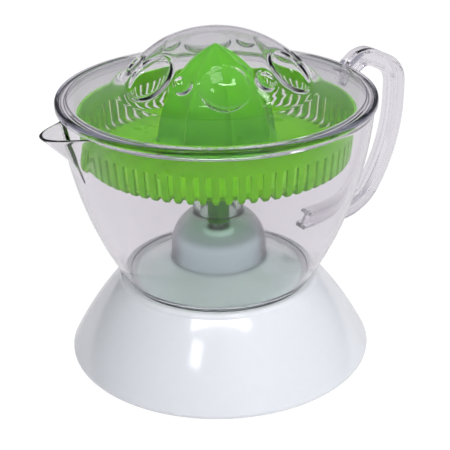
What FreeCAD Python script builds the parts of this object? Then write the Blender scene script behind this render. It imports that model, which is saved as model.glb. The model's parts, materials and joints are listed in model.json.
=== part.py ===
import FreeCAD, Part
import math
import os

from FreeCAD import Vector

# Citrus press juicer, in millimetres. The origin is on the drive axis at table level, +Z is up,
# the pouring lip points to -X, the handle to +X and the mains lead leaves at +Y.

# Main size: the base, the strainer and the cover follow the radius of the jug's rim
JUG_RIM_RADIUS = 86.5

# Base housing
BASE_OVERHANG = 0.5
BASE_EDGE_ROUND = 3.0
BASE_WALL = 2.5
SHELL_EDGE_Z = 2.0
BASE_HEIGHT = 48.0
BASE_SIDE_BULGE = 1.7
DECK_RADIUS = 58.0
DECK_CORNER = 2.5
SEAT_INNER_RADIUS = 47.0
DECK_RISE = 9.5
BOSS_RADIUS = 23.6
BOSS_HEIGHT = 14.5
BOSS_CORNER = 4.0
SEAL_COLLAR_HEIGHT = 3.0
SEAL_COLLAR_WALL = 2.0

# Jug
JUG_WALL = 2.2
JUG_FOOT_CLEARANCE = 1.3
JUG_FOOT_WIDTH = 5.2
JUG_HEIGHT = 103.3
JUG_SIDE_BULGE = 6.8
JUG_FLOOR_CLEARANCE = 1.2
COLUMN_RADIUS = 27.3
COLUMN_HEIGHT = 16.0
COLUMN_SHOULDER_ROUND = 24.0
TUBE_RADIUS = 12.9
TUBE_TOP_HEIGHT = 76.0
TUBE_NOTCH_WIDTH = 3.0
TUBE_NOTCH_DEPTH = 3.0
SPOUT_REACH = 19.1
SPOUT_HALF_WIDTH = 21.0
SPOUT_ROOT_INSET = 10.0
SPOUT_DEPTH = 27.5
SPOUT_TIP_ROUND = 10.0
HANDLE_WIDTH = 11.4
HANDLE_DEPTH = 8.0
HANDLE_EDGE_ROUND = 1.6
HANDLE_REACH = 44.0
HANDLE_ROOT_DROP = 3.5
HANDLE_CREST_OUT = 14.3
HANDLE_CREST_RISE = 9.8
HANDLE_CREST_ROUND = 12.0
HANDLE_SHOULDER_DROP = 3.6
HANDLE_SHOULDER_ROUND = 16.0
HANDLE_BACK_DROP = 49.0
HANDLE_BACK_ROUND = 100.0
HANDLE_FOOT_OUT = 15.7
HANDLE_FOOT_HEIGHT = 13.3
HANDLE_FOOT_ROUND = 30.0

# Strainer
STRAINER_GAP = 10.0
STRAINER_TAPER = 2.3
STRAINER_WALL = 1.8
STRAINER_FLOOR = 2.0
STRAINER_HEIGHT = 26.0
STRAINER_DROP = 4.0
STRAINER_CORNER = 4.0
STRAINER_SOLID_BAND = 9.0
SLOT_COUNT = 72
SLOT_WIDTH = 3.2
SLOT_FLOOR_LENGTH = 8.0
HUB_WALL = 2.2
HUB_CLEARANCE = 0.25

# Cone and its bush
CONE_RADIUS = 33.5
CONE_HEIGHT = 57.0
CONE_RIDGES = 8
CONE_RIDGE_TURN = 27.5
CONE_VALLEY = 0.87
CONE_WALL = 2.4
CONE_FLOOR_GAP = 3.5
CONE_SKIRT_HEIGHT = 3.0
STEM_FLATS = 12.0
STEM_CLEARANCE = 0.15
STEM_END_GAP = 1.0
BUSH_RADIUS = 9.3
BUSH_LENGTH = 4.5
BUSH_FLANGE_RADIUS = 12.0
BUSH_FLANGE = 1.5

# Dust cover
LID_WALL = 2.0
LID_OVERHANG = 1.5
LID_RIM_HEIGHT = 4.0
LID_RIM_ROUND = 1.5
LID_SHOULDER_SLOPE = 0.2
LID_DOME_RADIUS = 66.0
LID_DOME_HEIGHT = 39.0
LID_RING_DEPTH = 2.8
LID_RING_CLEARANCE = 0.6
DIMPLE_COUNT = 6
DIMPLE_TURN = 4.5
DIMPLE_ELEVATION = 48.3
DIMPLE_ROUND = 18.0
DIMPLE_DEPTH = 7.0
SMALL_DIMPLE_ROUND = 6.0
SMALL_DIMPLE_DEPTH = 2.4

# Bottom cover, feet and lead gland
COVER_CLEARANCE = 0.5
COVER_THICKNESS = 2.5
COVER_EDGE_INSET = 0.5
COVER_SCREW_CIRCLE = 68.0
COVER_SCREW_COUNT = 4
VENT_COUNT = 24
VENT_RADIUS = 44.0
VENT_LENGTH = 12.0
VENT_WIDTH = 3.0
FOOT_RADIUS = 8.0
FOOT_CIRCLE = 62.0
FOOT_COUNT = 4
SCREW_RADIUS = 1.5
SCREW_HEAD_RADIUS = 3.0
SCREW_HEAD = 2.0
SCREW_GRIP = 8.0
SCREW_BOSS_RADIUS = 4.0
GLAND_Z = 12.0
GLAND_NECK_RADIUS = 5.0
GLAND_FLANGE_RADIUS = 7.0
GLAND_FLANGE = 2.0
GLAND_LENGTH = 7.0
GLAND_BORE_RADIUS = 3.5

# Shaft, thrust cup and spring
SHAFT_RADIUS = 4.0
SHAFT_FLAT = 3.2
SHAFT_BOTTOM_Z = 18.0
SHAFT_TOP_ABOVE_BOSS = 38.0
GEAR_FLAT_LENGTH = 20.0
RUNNING_CLEARANCE = 0.05
PRESS_CLEARANCE = 0.02
PRESS_TRAVEL = 2.5
SHAFT_BUSH_WALL = 3.0
SHAFT_BUSH_LENGTH = 14.0
SEAL_HEIGHT = 2.5
SEAL_WALL = 2.2
CUP_RADIUS = 7.0
CUP_FLOOR = 3.0
CUP_DEPTH = 6.0
CUP_TAB_REACH = 12.0
CUP_TAB_WIDTH = 8.0
CUP_TAB = 2.0
CUP_CLEARANCE = 0.2
GUIDE_WALL = 2.3
GUIDE_TOP_Z = 19.0
SPRING_RADIUS = 5.2
SPRING_WIRE_RADIUS = 0.5
SPRING_TURNS = 4
SPRING_SEAT_GAP = 0.1

# Gear train: tooth counts and modules, and heights above the gear plate
GEAR_PLATE_Z = 29.0
GEAR_PLATE = 2.0
GEAR_PLATE_MARGIN = 6.0
GEAR_SCREW_CIRCLE = 52.0
GEAR_SCREW_ANGLES = (50.0, 150.0, 270.0)
OUTPUT_TEETH = 60
IDLER_PINION_TEETH = 12
OUTPUT_MODULE = 0.9
IDLER_TEETH = 60
MOTOR_TEETH = 10
MOTOR_MODULE = 0.8
PINION_SHIFT = 0.4
PRESSURE_ANGLE = 20.0
BACKLASH = 0.12
OUTPUT_FACE = 6.0
IDLER_FACE = 5.0
PINION_OVERHANG = 0.5
GEAR_LEVEL_GAP = 2.5
IDLER_PLATE_GAP = 0.8
OUTPUT_HUB_RADIUS = 7.0
OUTPUT_JOURNAL_RADIUS = 5.8
GEAR_BUSH_WALL = 2.5
GEAR_BUSH_FLANGE_RADIUS = 11.0
GEAR_BUSH_FLANGE = 1.2
AXLE_RADIUS = 2.0
AXLE_TAIL = 1.0
CLIP_RADIUS = 4.0
CLIP_THICKNESS = 0.8
CLIP_GAP = 0.3

# Motor
MOTOR_X = 20.0
MOTOR_Y = 34.0
STACK_Z = 12.0
STACK_HEIGHT = 12.0
ROTOR_RADIUS = 8.6
AIR_GAP = 0.7
ROTOR_SHAFT_RADIUS = 1.5
ROTOR_SHAFT_BOTTOM_Z = 7.5
ARM_INNER = 10.0
ARM_WIDTH = 9.0
POLE_HALF_LENGTH = 10.8
POLE_MOUTH = 2.5
YOKE_WIDTH = 10.0
COIL_LENGTH = 25.0
BOBBIN_WALL = 0.8
BOBBIN_FLANGE = 1.0
COIL_BUILD = 3.5
COIL_END_GAP = 2.0
ROTOR_BUSH_RADIUS = 3.5
ROTOR_BUSH_LENGTH = 4.0
BRACKET_WIDTH = 12.0
BRACKET_THICKNESS = 1.5
BRACKET_DROP = 2.0
SPACER_RADIUS = 3.0

# Start switch
SWITCH_FAR_X = -34.0
SWITCH_NEAR_X = -16.0
SWITCH_WIDTH = 6.0
SWITCH_HEIGHT = 9.4
SWITCH_PEDESTAL = 4.0
SWITCH_CLIP_WALL = 1.5
SWITCH_CLIP_HEIGHT = 5.0
LEVER_THICKNESS = 0.5
LEVER_WIDTH = 3.0
LEVER_GAP = 0.3
LEVER_PIVOT_INSET = 2.0
LEVER_PIVOT_RADIUS = 0.8
LEVER_KNUCKLE = 1.2
LEVER_CHEEK_WALL = 0.8
LEVER_OVERLAP = 1.8
BUTTON_RADIUS = 1.2
BUTTON_X = -24.0
BUTTON_ROOT = 3.0

# Radii and heights that follow from the sizes above
BASE_RADIUS = JUG_RIM_RADIUS + BASE_OVERHANG
STRAINER_TOP_RADIUS = JUG_RIM_RADIUS - STRAINER_GAP
STRAINER_BOTTOM_RADIUS = STRAINER_TOP_RADIUS - STRAINER_TAPER
LID_RIM_RADIUS = JUG_RIM_RADIUS + LID_OVERHANG
JUG_FOOT_INNER_RADIUS = SEAT_INNER_RADIUS + JUG_FOOT_CLEARANCE
JUG_FOOT_RADIUS = JUG_FOOT_INNER_RADIUS + JUG_FOOT_WIDTH
DECK_Z = SHELL_EDGE_Z + BASE_HEIGHT
BOSS_ROOT_Z = DECK_Z + DECK_RISE
BOSS_TOP_Z = BOSS_ROOT_Z + BOSS_HEIGHT
COLLAR_TOP_Z = BOSS_TOP_Z + SEAL_COLLAR_HEIGHT
RIM_Z = DECK_Z + JUG_HEIGHT
JUG_SIDE_Z = DECK_Z + 2 * JUG_WALL
SHOULDER_Z = DECK_Z + COLUMN_HEIGHT
TUBE_TOP_Z = DECK_Z + TUBE_TOP_HEIGHT
STRAINER_Z = TUBE_TOP_Z - STRAINER_DROP
STRAINER_TOP_Z = STRAINER_Z + STRAINER_HEIGHT
HUB_TOP_Z = TUBE_TOP_Z + STRAINER_FLOOR
CONE_Z = STRAINER_Z + STRAINER_FLOOR + CONE_FLOOR_GAP
STEM_BOTTOM_Z = COLLAR_TOP_Z + PRESS_TRAVEL + STEM_END_GAP
SHAFT_TOP_Z = BOSS_TOP_Z + SHAFT_TOP_ABOVE_BOSS
COVER_Z = SHELL_EDGE_Z + COVER_EDGE_INSET
COVER_TOP_Z = COVER_Z + COVER_THICKNESS
COVER_RADIUS = BASE_RADIUS - BASE_EDGE_ROUND - COVER_CLEARANCE
PLATE_TOP_Z = GEAR_PLATE_Z + GEAR_PLATE
GEAR_SHOULDER_Z = PLATE_TOP_Z + GEAR_BUSH_FLANGE
IDLER_Z = GEAR_SHOULDER_Z + IDLER_PLATE_GAP
IDLER_PINION_Z = IDLER_Z + IDLER_FACE
OUTPUT_Z = IDLER_PINION_Z + GEAR_LEVEL_GAP
IDLER_TOP_Z = OUTPUT_Z + OUTPUT_FACE + PINION_OVERHANG
STACK_TOP_Z = STACK_Z + STACK_HEIGHT
SHAFT_BORE_RADIUS = SHAFT_RADIUS + RUNNING_CLEARANCE
CUP_Z = SHAFT_BOTTOM_Z - CUP_FLOOR
CUP_TOP_Z = SHAFT_BOTTOM_Z + CUP_DEPTH
CUP_TAB_Z = CUP_TOP_Z - CUP_TAB
SWITCH_Z = COVER_TOP_Z + SWITCH_PEDESTAL
SWITCH_TOP_Z = SWITCH_Z + SWITCH_HEIGHT
LEVER_TOP_Z = CUP_TAB_Z - LEVER_GAP
LEVER_Z = LEVER_TOP_Z - LEVER_THICKNESS
PIVOT_X = SWITCH_FAR_X + LEVER_PIVOT_INSET
PIVOT_Z = LEVER_Z - LEVER_KNUCKLE


# Shared geometry

def point(radius, height):
    return Vector(radius, 0, height)


def outline(start, *steps):
    """Face in the XZ plane. A step is the next corner, or a pair (through, end) for an arc."""
    edges = []
    here = start
    for step in steps + (start,):
        curved = isinstance(step[0], tuple)
        end = step[1] if curved else step
        if end == here:
            continue
        if curved:
            edges.append(Part.Arc(point(*here), point(*step[0]), point(*end)).toShape())
        else:
            edges.append(Part.LineSegment(point(*here), point(*end)).toShape())
        here = end
    return Part.Face(Part.Wire(edges))


def revolve(face):
    return face.revolve(Vector(0, 0, 0), Vector(0, 0, 1), 360)


def circle_through(a, b, c):
    """Centre and radius of the circle through three points (radius, height)."""
    circle = Part.Arc(point(*a), point(*b), point(*c)).toShape().Curve
    return (circle.Center.x, circle.Center.z), circle.Radius


def bulged(a, b, bulge):
    """Middle of the arc from a up to b that swells outwards by bulge."""
    length = math.dist(a, b)
    across = ((b[1] - a[1]) / length, (a[0] - b[0]) / length)
    return ((a[0] + b[0]) / 2 + bulge * across[0], (a[1] + b[1]) / 2 + bulge * across[1])


def nearer(p, centre, step):
    """Point p moved towards centre."""
    share = step / math.dist(p, centre)
    return (p[0] + (centre[0] - p[0]) * share, p[1] + (centre[1] - p[1]) * share)


def cylinder(radius, low, high, x=0.0, y=0.0):
    return Part.makeCylinder(radius, high - low, Vector(x, y, low))


def tube(outer, inner, low, high, x=0.0, y=0.0):
    return cylinder(outer, low, high, x, y).cut(cylinder(inner, low, high, x, y))


def box(x_range, y_range, z_range):
    low = Vector(x_range[0], y_range[0], z_range[0])
    return Part.makeBox(x_range[1] - x_range[0], y_range[1] - y_range[0], z_range[1] - z_range[0], low)


def turned(shape, degrees, x=0.0, y=0.0):
    copy = shape.copy()
    copy.rotate(Vector(x, y, 0), Vector(0, 0, 1), degrees)
    return copy


def ring_of(shape, count, start=0.0):
    return [turned(shape, start + 360.0 * k / count) for k in range(count)]


def prism(corners, low, high):
    """Upright prism on a closed outline of (x, y) corners."""
    loop = [Vector(x, y, low) for x, y in corners]
    return Part.Face(Part.makePolygon(loop + loop[:1])).extrude(Vector(0, 0, high - low))


def polar(radius, degrees):
    return (radius * math.cos(math.radians(degrees)), radius * math.sin(math.radians(degrees)))


def hexagon(flats, low, high):
    return prism([polar(flats / math.sqrt(3), 60 * k) for k in range(6)], low, high)


def flatted(radius, flat, low, high):
    """Round bar with a pair of flats."""
    return cylinder(radius, low, high).common(box((-radius, radius), (-flat, flat), (low, high)))


def screw(x, y, seat, grip):
    """Pan-head screw that comes up from below: its head's top face lies at seat."""
    head = cylinder(SCREW_HEAD_RADIUS, seat - SCREW_HEAD, seat, x, y)
    return head.fuse(cylinder(SCREW_RADIUS, seat, seat + grip, x, y)).removeSplitter()


# Base housing

def base_side():
    """Lower end, middle and upper end of the flared side."""
    low = (BASE_RADIUS, SHELL_EDGE_Z + BASE_EDGE_ROUND)
    high = (DECK_RADIUS, DECK_Z - DECK_CORNER)
    return low, bulged(low, high, BASE_SIDE_BULGE), high


def deck_slope():
    return DECK_RISE / (SEAT_INNER_RADIUS - BOSS_RADIUS)


def rounded_corner(corner, size):
    """Arc over a square upper corner: its start, middle and end."""
    radius, height = corner
    slack = size * (1 - math.sqrt(0.5))
    return (radius, height - size), (radius - slack, height - slack), (radius - size, height)


def base_outer():
    low, middle, high = base_side()
    edge_slack = BASE_EDGE_ROUND * (1 - math.sqrt(0.5))
    boss = rounded_corner((BOSS_RADIUS, BOSS_TOP_Z), BOSS_CORNER)
    deck_start = (DECK_RADIUS - DECK_CORNER, DECK_Z)
    deck_slack = DECK_CORNER * (1 - math.sqrt(0.5))
    return revolve(outline(
        (0.0, SHELL_EDGE_Z),
        (BASE_RADIUS - BASE_EDGE_ROUND, SHELL_EDGE_Z),
        ((BASE_RADIUS - edge_slack, SHELL_EDGE_Z + edge_slack), low),
        (middle, high),
        ((DECK_RADIUS - deck_slack, DECK_Z - deck_slack), deck_start),
        (SEAT_INNER_RADIUS, DECK_Z),
        (BOSS_RADIUS, BOSS_ROOT_Z),
        boss[0],
        (boss[1], boss[2]),
        (0.0, BOSS_TOP_Z),
    ))


def base_cavity():
    low, middle, high = base_side()
    centre = circle_through(low, middle, high)[0]
    low, middle, high = (nearer(p, centre, BASE_WALL) for p in (low, middle, high))
    mouth = BASE_RADIUS - BASE_EDGE_ROUND
    ceiling = DECK_Z - BASE_WALL
    boss_inner = BOSS_RADIUS - BASE_WALL
    return revolve(outline(
        (0.0, SHELL_EDGE_Z),
        (mouth, SHELL_EDGE_Z),
        (mouth, low[1]),
        low,
        (middle, high),
        (high[0] - BASE_WALL, ceiling),
        (SEAT_INNER_RADIUS, ceiling),
        (boss_inner, ceiling + deck_slope() * (SEAT_INNER_RADIUS - boss_inner)),
        (boss_inner, BOSS_TOP_Z - BASE_WALL - BOSS_CORNER / 2),
        (boss_inner - BOSS_CORNER / 2, BOSS_TOP_Z - BASE_WALL),
        (0.0, BOSS_TOP_Z - BASE_WALL),
    ))


def gear_screw_places():
    return [polar(GEAR_SCREW_CIRCLE, angle) for angle in GEAR_SCREW_ANGLES]


def cover_screw_places():
    return [polar(COVER_SCREW_CIRCLE, 45 + 360.0 * k / COVER_SCREW_COUNT) for k in range(COVER_SCREW_COUNT)]


def shaft_bush_radius():
    return SHAFT_BORE_RADIUS + SHAFT_BUSH_WALL


def seal_radius():
    return SHAFT_RADIUS + SEAL_WALL + CUP_CLEARANCE


def gland_hole():
    return Part.makeCylinder(GLAND_NECK_RADIUS + PRESS_CLEARANCE, BASE_RADIUS / 2,
                             Vector(0, BASE_RADIUS * 0.7, GLAND_Z), Vector(0, 1, 0))


def base_housing():
    """White bell-shaped shell with its boss, bush hub, seal collar and screw bosses."""
    outer = base_outer()
    bush_low = BOSS_TOP_Z - BASE_WALL - SHAFT_BUSH_LENGTH
    hub_radius = shaft_bush_radius() + BASE_WALL
    added = [tube(hub_radius, shaft_bush_radius() + PRESS_CLEARANCE, bush_low, BOSS_TOP_Z - BASE_WALL)]
    bosses = [cylinder(SCREW_BOSS_RADIUS, PLATE_TOP_Z, DECK_Z, x, y) for x, y in gear_screw_places()]
    bosses += [cylinder(SCREW_BOSS_RADIUS, COVER_TOP_Z, DECK_Z, x, y) for x, y in cover_screw_places()]
    added += [boss.common(outer) for boss in bosses]
    collar_outer = seal_radius() + PRESS_CLEARANCE + SEAL_COLLAR_WALL
    added.append(tube(collar_outer, seal_radius() + PRESS_CLEARANCE, BOSS_TOP_Z, COLLAR_TOP_Z))
    shell = outer.cut(base_cavity()).fuse(added)
    holes = [cylinder(SHAFT_RADIUS + CUP_CLEARANCE, BOSS_TOP_Z - BASE_WALL, BOSS_TOP_Z), gland_hole()]
    pilot = SCREW_RADIUS + PRESS_CLEARANCE
    holes += [cylinder(pilot, PLATE_TOP_Z, PLATE_TOP_Z + SCREW_GRIP, x, y) for x, y in gear_screw_places()]
    holes += [cylinder(pilot, COVER_TOP_Z, COVER_TOP_Z + SCREW_GRIP, x, y) for x, y in cover_screw_places()]
    return shell.cut(holes).removeSplitter()


# Bottom cover, feet, screws and gland

def bottom_cover():
    """Disc with vents, the thrust cup's guide tube and the switch's clip-in pedestal."""
    guide_inner = CUP_RADIUS + CUP_CLEARANCE
    half = SWITCH_WIDTH / 2 + PRESS_CLEARANCE
    wall_end = half + SWITCH_CLIP_WALL
    switch_x = (SWITCH_FAR_X, SWITCH_NEAR_X)
    clip_z = (COVER_TOP_Z, SWITCH_Z + SWITCH_CLIP_HEIGHT)
    pieces = [
        tube(guide_inner + GUIDE_WALL, guide_inner, COVER_TOP_Z, GUIDE_TOP_Z),
        box(switch_x, (-half, half), (COVER_TOP_Z, SWITCH_Z)),
        box(switch_x, (half, wall_end), clip_z),
        box(switch_x, (-wall_end, -half), clip_z),
    ]
    cover = cylinder(COVER_RADIUS, COVER_Z, COVER_TOP_Z).fuse(pieces)
    vent = box((VENT_RADIUS, VENT_RADIUS + VENT_LENGTH), (-VENT_WIDTH / 2, VENT_WIDTH / 2), (COVER_Z, COVER_TOP_Z))
    holes = ring_of(vent, VENT_COUNT)
    holes += [cylinder(SCREW_RADIUS + PRESS_CLEARANCE, COVER_Z, COVER_TOP_Z, x, y) for x, y in cover_screw_places()]
    return cover.cut(holes).removeSplitter()


def rubber_feet():
    """Soft round feet under the bottom cover, with a chamfered lower edge."""
    foot = cylinder(FOOT_RADIUS, 0.0, COVER_Z, FOOT_CIRCLE, 0.0)
    lower_edge = [edge for edge in foot.Edges if edge.BoundBox.ZMax < COVER_Z / 4]
    return Part.makeCompound(ring_of(foot.makeChamfer(COVER_Z / 4, lower_edge), FOOT_COUNT))


def cover_screws():
    return Part.makeCompound([screw(x, y, COVER_Z, COVER_THICKNESS + SCREW_GRIP) for x, y in cover_screw_places()])


def cord_gland():
    """Bush for the mains lead: a flange outside, a neck through the wall."""
    def bar(radius, low, high):
        return Part.makeCylinder(radius, high - low, Vector(0, low, GLAND_Z), Vector(0, 1, 0))
    face_y = BASE_RADIUS + GLAND_FLANGE
    neck = bar(GLAND_NECK_RADIUS, face_y - GLAND_FLANGE - GLAND_LENGTH, face_y)
    flange = bar(GLAND_FLANGE_RADIUS, face_y - GLAND_FLANGE - GLAND_LENGTH, face_y).cut(base_outer())
    bore = bar(GLAND_BORE_RADIUS, 0.0, face_y)
    return neck.fuse(flange).cut(bore).removeSplitter()


# Jug

def jug_side():
    low = (JUG_FOOT_RADIUS, DECK_Z)
    high = (JUG_RIM_RADIUS, RIM_Z)
    return low, bulged(low, high, JUG_SIDE_BULGE), high


def side_radius(height, inset):
    """Radius of the jug's side at a height, moved in by inset."""
    centre, radius = circle_through(*jug_side())
    return centre[0] + math.sqrt((radius - inset) ** 2 - (height - centre[1]) ** 2)


def floor_under(radius):
    return DECK_Z + deck_slope() * (SEAT_INNER_RADIUS - radius) + JUG_FLOOR_CLEARANCE


def shoulder(radius, inset):
    """Height of the column's round shoulder at a radius, moved in by inset."""
    reach = COLUMN_SHOULDER_ROUND - inset
    across = radius - (COLUMN_RADIUS - COLUMN_SHOULDER_ROUND)
    return SHOULDER_Z + math.sqrt(reach ** 2 - across ** 2)


def jug_core():
    """Lower moulding of the jug: foot ring, sloping floor, column and tube."""
    column_inner = COLUMN_RADIUS - JUG_WALL
    tube_inner = TUBE_RADIUS - JUG_WALL
    outer_turn = (COLUMN_RADIUS + TUBE_RADIUS) / 2
    inner_turn = (column_inner + tube_inner) / 2
    side_middle = (DECK_Z + JUG_SIDE_Z) / 2
    core = revolve(outline(
        (JUG_FOOT_RADIUS, DECK_Z),
        ((side_radius(side_middle, 0.0), side_middle), (side_radius(JUG_SIDE_Z, 0.0), JUG_SIDE_Z)),
        (side_radius(JUG_SIDE_Z, JUG_WALL), JUG_SIDE_Z),
        (JUG_FOOT_INNER_RADIUS, floor_under(JUG_FOOT_INNER_RADIUS) + JUG_WALL),
        (COLUMN_RADIUS, floor_under(COLUMN_RADIUS) + JUG_WALL),
        (COLUMN_RADIUS, SHOULDER_Z),
        ((outer_turn, shoulder(outer_turn, 0.0)), (TUBE_RADIUS, shoulder(TUBE_RADIUS, 0.0))),
        (TUBE_RADIUS, TUBE_TOP_Z),
        (tube_inner, TUBE_TOP_Z),
        (tube_inner, shoulder(tube_inner, JUG_WALL)),
        ((inner_turn, shoulder(inner_turn, JUG_WALL)), (column_inner, SHOULDER_Z)),
        (column_inner, floor_under(column_inner)),
        (JUG_FOOT_INNER_RADIUS, floor_under(JUG_FOOT_INNER_RADIUS)),
        (JUG_FOOT_INNER_RADIUS, DECK_Z),
    ))
    notch = box((0.0, TUBE_RADIUS), (-TUBE_NOTCH_WIDTH / 2, TUBE_NOTCH_WIDTH / 2),
                (TUBE_TOP_Z - TUBE_NOTCH_DEPTH, TUBE_TOP_Z))
    return core.cut(ring_of(notch, 2, 90.0)).removeSplitter()


def filled_side(inset, low=DECK_Z):
    """Everything inside the jug's side from a height up to the rim, filled solid, moved in by inset."""
    middle_z = (low + RIM_Z) / 2
    return revolve(outline(
        (0.0, low),
        (side_radius(low, inset), low),
        ((side_radius(middle_z, inset), middle_z), (side_radius(RIM_Z, inset), RIM_Z)),
        (0.0, RIM_Z),
    ))


def spout_body(inset):
    """Leaning half-cone of the pouring lip: a round-nosed V at the rim that runs to a point on the side."""
    nose = JUG_RIM_RADIUS + SPOUT_REACH - inset
    tip_round = SPOUT_TIP_ROUND - inset
    half = SPOUT_HALF_WIDTH - inset
    root = JUG_RIM_RADIUS - SPOUT_ROOT_INSET
    centre = nose - tip_round
    spread = math.hypot(root - centre, half)
    turn = math.atan2(half, root - centre) - math.acos(tip_round / spread)
    side_x = -(centre + tip_round * math.cos(turn))
    side_y = tip_round * math.sin(turn)
    corners = [Vector(-root, -half, RIM_Z), Vector(-root, half, RIM_Z)]
    back = Vector(side_x, side_y, RIM_Z)
    front = Vector(side_x, -side_y, RIM_Z)
    mouth = Part.Wire([
        Part.LineSegment(*corners).toShape(),
        Part.LineSegment(corners[1], back).toShape(),
        Part.Arc(back, Vector(-nose, 0, RIM_Z), front).toShape(),
        Part.LineSegment(front, corners[0]).toShape(),
    ])
    foot_z = RIM_Z - SPOUT_DEPTH + inset
    foot = Part.Vertex(-side_radius(foot_z, 2 * JUG_WALL), 0, foot_z)
    return Part.makeLoft([mouth, foot], True, True)


def bent_path(corners, rounds):
    """Straight runs in the XZ plane joined by tangent arcs."""
    edges = []
    here = corners[0]
    for corner, after, size in zip(corners[1:-1], corners[2:], rounds):
        back = ((here[0] - corner[0]), (here[1] - corner[1]))
        ahead = ((after[0] - corner[0]), (after[1] - corner[1]))
        back = tuple(c / math.hypot(*back) for c in back)
        ahead = tuple(c / math.hypot(*ahead) for c in ahead)
        half_angle = math.acos(back[0] * ahead[0] + back[1] * ahead[1]) / 2
        reach = size / math.tan(half_angle)
        start = (corner[0] + back[0] * reach, corner[1] + back[1] * reach)
        end = (corner[0] + ahead[0] * reach, corner[1] + ahead[1] * reach)
        inwards = (back[0] + ahead[0], back[1] + ahead[1])
        depth = (size / math.sin(half_angle) - size) / math.hypot(*inwards)
        middle = (corner[0] + inwards[0] * depth, corner[1] + inwards[1] * depth)
        edges.append(Part.LineSegment(point(*here), point(*start)).toShape())
        edges.append(Part.Arc(point(*start), point(*middle), point(*end)).toShape())
        here = end
    edges.append(Part.LineSegment(point(*here), point(*corners[-1])).toShape())
    return Part.Wire(edges)


def handle_bar():
    """Slim bar that rises from the rim over a crest, runs down the back and curls in to the lower side."""
    back = JUG_RIM_RADIUS + HANDLE_REACH - HANDLE_DEPTH / 2
    low = DECK_Z + HANDLE_FOOT_HEIGHT
    corners = [
        (JUG_RIM_RADIUS - HANDLE_ROOT_DROP, RIM_Z - HANDLE_ROOT_DROP),
        (JUG_RIM_RADIUS + HANDLE_CREST_OUT, RIM_Z + HANDLE_CREST_RISE),
        (back, RIM_Z - HANDLE_SHOULDER_DROP),
        (back, RIM_Z - HANDLE_BACK_DROP),
        (JUG_RIM_RADIUS + HANDLE_FOOT_OUT, low),
        (side_radius(low, 2 * JUG_WALL), low),
    ]
    rounds = (HANDLE_CREST_ROUND, HANDLE_SHOULDER_ROUND, HANDLE_BACK_ROUND, HANDLE_FOOT_ROUND)
    path = bent_path(corners, rounds)
    start = point(*corners[0])
    along = (point(*corners[1]) - start).normalize()
    half_width = HANDLE_WIDTH / 2
    half_depth = HANDLE_DEPTH / 2
    section = box((-half_depth, half_depth), (-half_width, half_width), (0.0, 1.0))
    upright = [edge for edge in section.Edges if edge.BoundBox.ZLength > 0.5]
    section = section.makeFillet(HANDLE_EDGE_ROUND, upright)
    floor = [face for face in section.Faces if face.BoundBox.ZMax < 0.5][0]
    loop = floor.OuterWire
    loop.Placement = FreeCAD.Placement(start, FreeCAD.Rotation(Vector(0, 0, 1), along))
    return path.makePipeShell([loop], True, False)


def juice_jug():
    """Clear side of the jug, open into its pouring lip."""
    side = filled_side(0.0, JUG_SIDE_Z).cut(filled_side(JUG_WALL, JUG_SIDE_Z))
    return side.cut(spout_body(JUG_WALL)).removeSplitter()


def pouring_lip():
    """Open trough of the lip, outside the jug's side."""
    return spout_body(0.0).cut(spout_body(JUG_WALL)).cut(filled_side(-PRESS_CLEARANCE)).removeSplitter()


def jug_handle():
    """Bar handle, kept clear of the way that the cover lifts."""
    cover_room = cylinder(LID_RIM_RADIUS + LID_RING_CLEARANCE, RIM_Z, RIM_Z + HANDLE_CREST_RISE + HANDLE_DEPTH)
    return handle_bar().cut(filled_side(-PRESS_CLEARANCE)).cut(cover_room)


# Strainer, bush and cone

def strainer_basket():
    """Slotted ring basket whose hub hangs on the jug's tube."""
    hub_inner = TUBE_RADIUS + HUB_CLEARANCE
    hub_outer = hub_inner + HUB_WALL
    bush_hole = BUSH_RADIUS + RUNNING_CLEARANCE
    floor_top = STRAINER_Z + STRAINER_FLOOR
    corner = STRAINER_CORNER
    slack = corner * (1 - math.sqrt(0.5))
    bottom = STRAINER_BOTTOM_RADIUS
    inner_corner = corner - STRAINER_WALL
    inner_slack = inner_corner * (1 - math.sqrt(0.5))
    inner_bottom = bottom - STRAINER_WALL
    bowl = revolve(outline(
        (STRAINER_TOP_RADIUS, STRAINER_TOP_Z),
        (STRAINER_TOP_RADIUS - STRAINER_WALL, STRAINER_TOP_Z),
        (inner_bottom, floor_top + inner_corner),
        ((inner_bottom - inner_slack, floor_top + inner_slack), (inner_bottom - inner_corner, floor_top)),
        (hub_outer, floor_top),
        (hub_outer, HUB_TOP_Z),
        (bush_hole, HUB_TOP_Z),
        (bush_hole, TUBE_TOP_Z),
        (hub_inner, TUBE_TOP_Z),
        (hub_inner, STRAINER_Z),
        (bottom - corner, STRAINER_Z),
        ((bottom - slack, STRAINER_Z + slack), (bottom, STRAINER_Z + corner)),
    ))
    slot = box((bottom - SLOT_FLOOR_LENGTH, STRAINER_TOP_RADIUS), (-SLOT_WIDTH / 2, SLOT_WIDTH / 2),
               (STRAINER_Z, STRAINER_TOP_Z - STRAINER_SOLID_BAND))
    key_half = TUBE_NOTCH_WIDTH / 2 - HUB_CLEARANCE
    key = box((bush_hole, hub_inner + HUB_WALL / 2), (-key_half, key_half),
              (TUBE_TOP_Z - TUBE_NOTCH_DEPTH + HUB_CLEARANCE, TUBE_TOP_Z))
    return bowl.cut(ring_of(slot, SLOT_COUNT)).fuse(ring_of(key, 2, 90.0)).removeSplitter()


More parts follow.
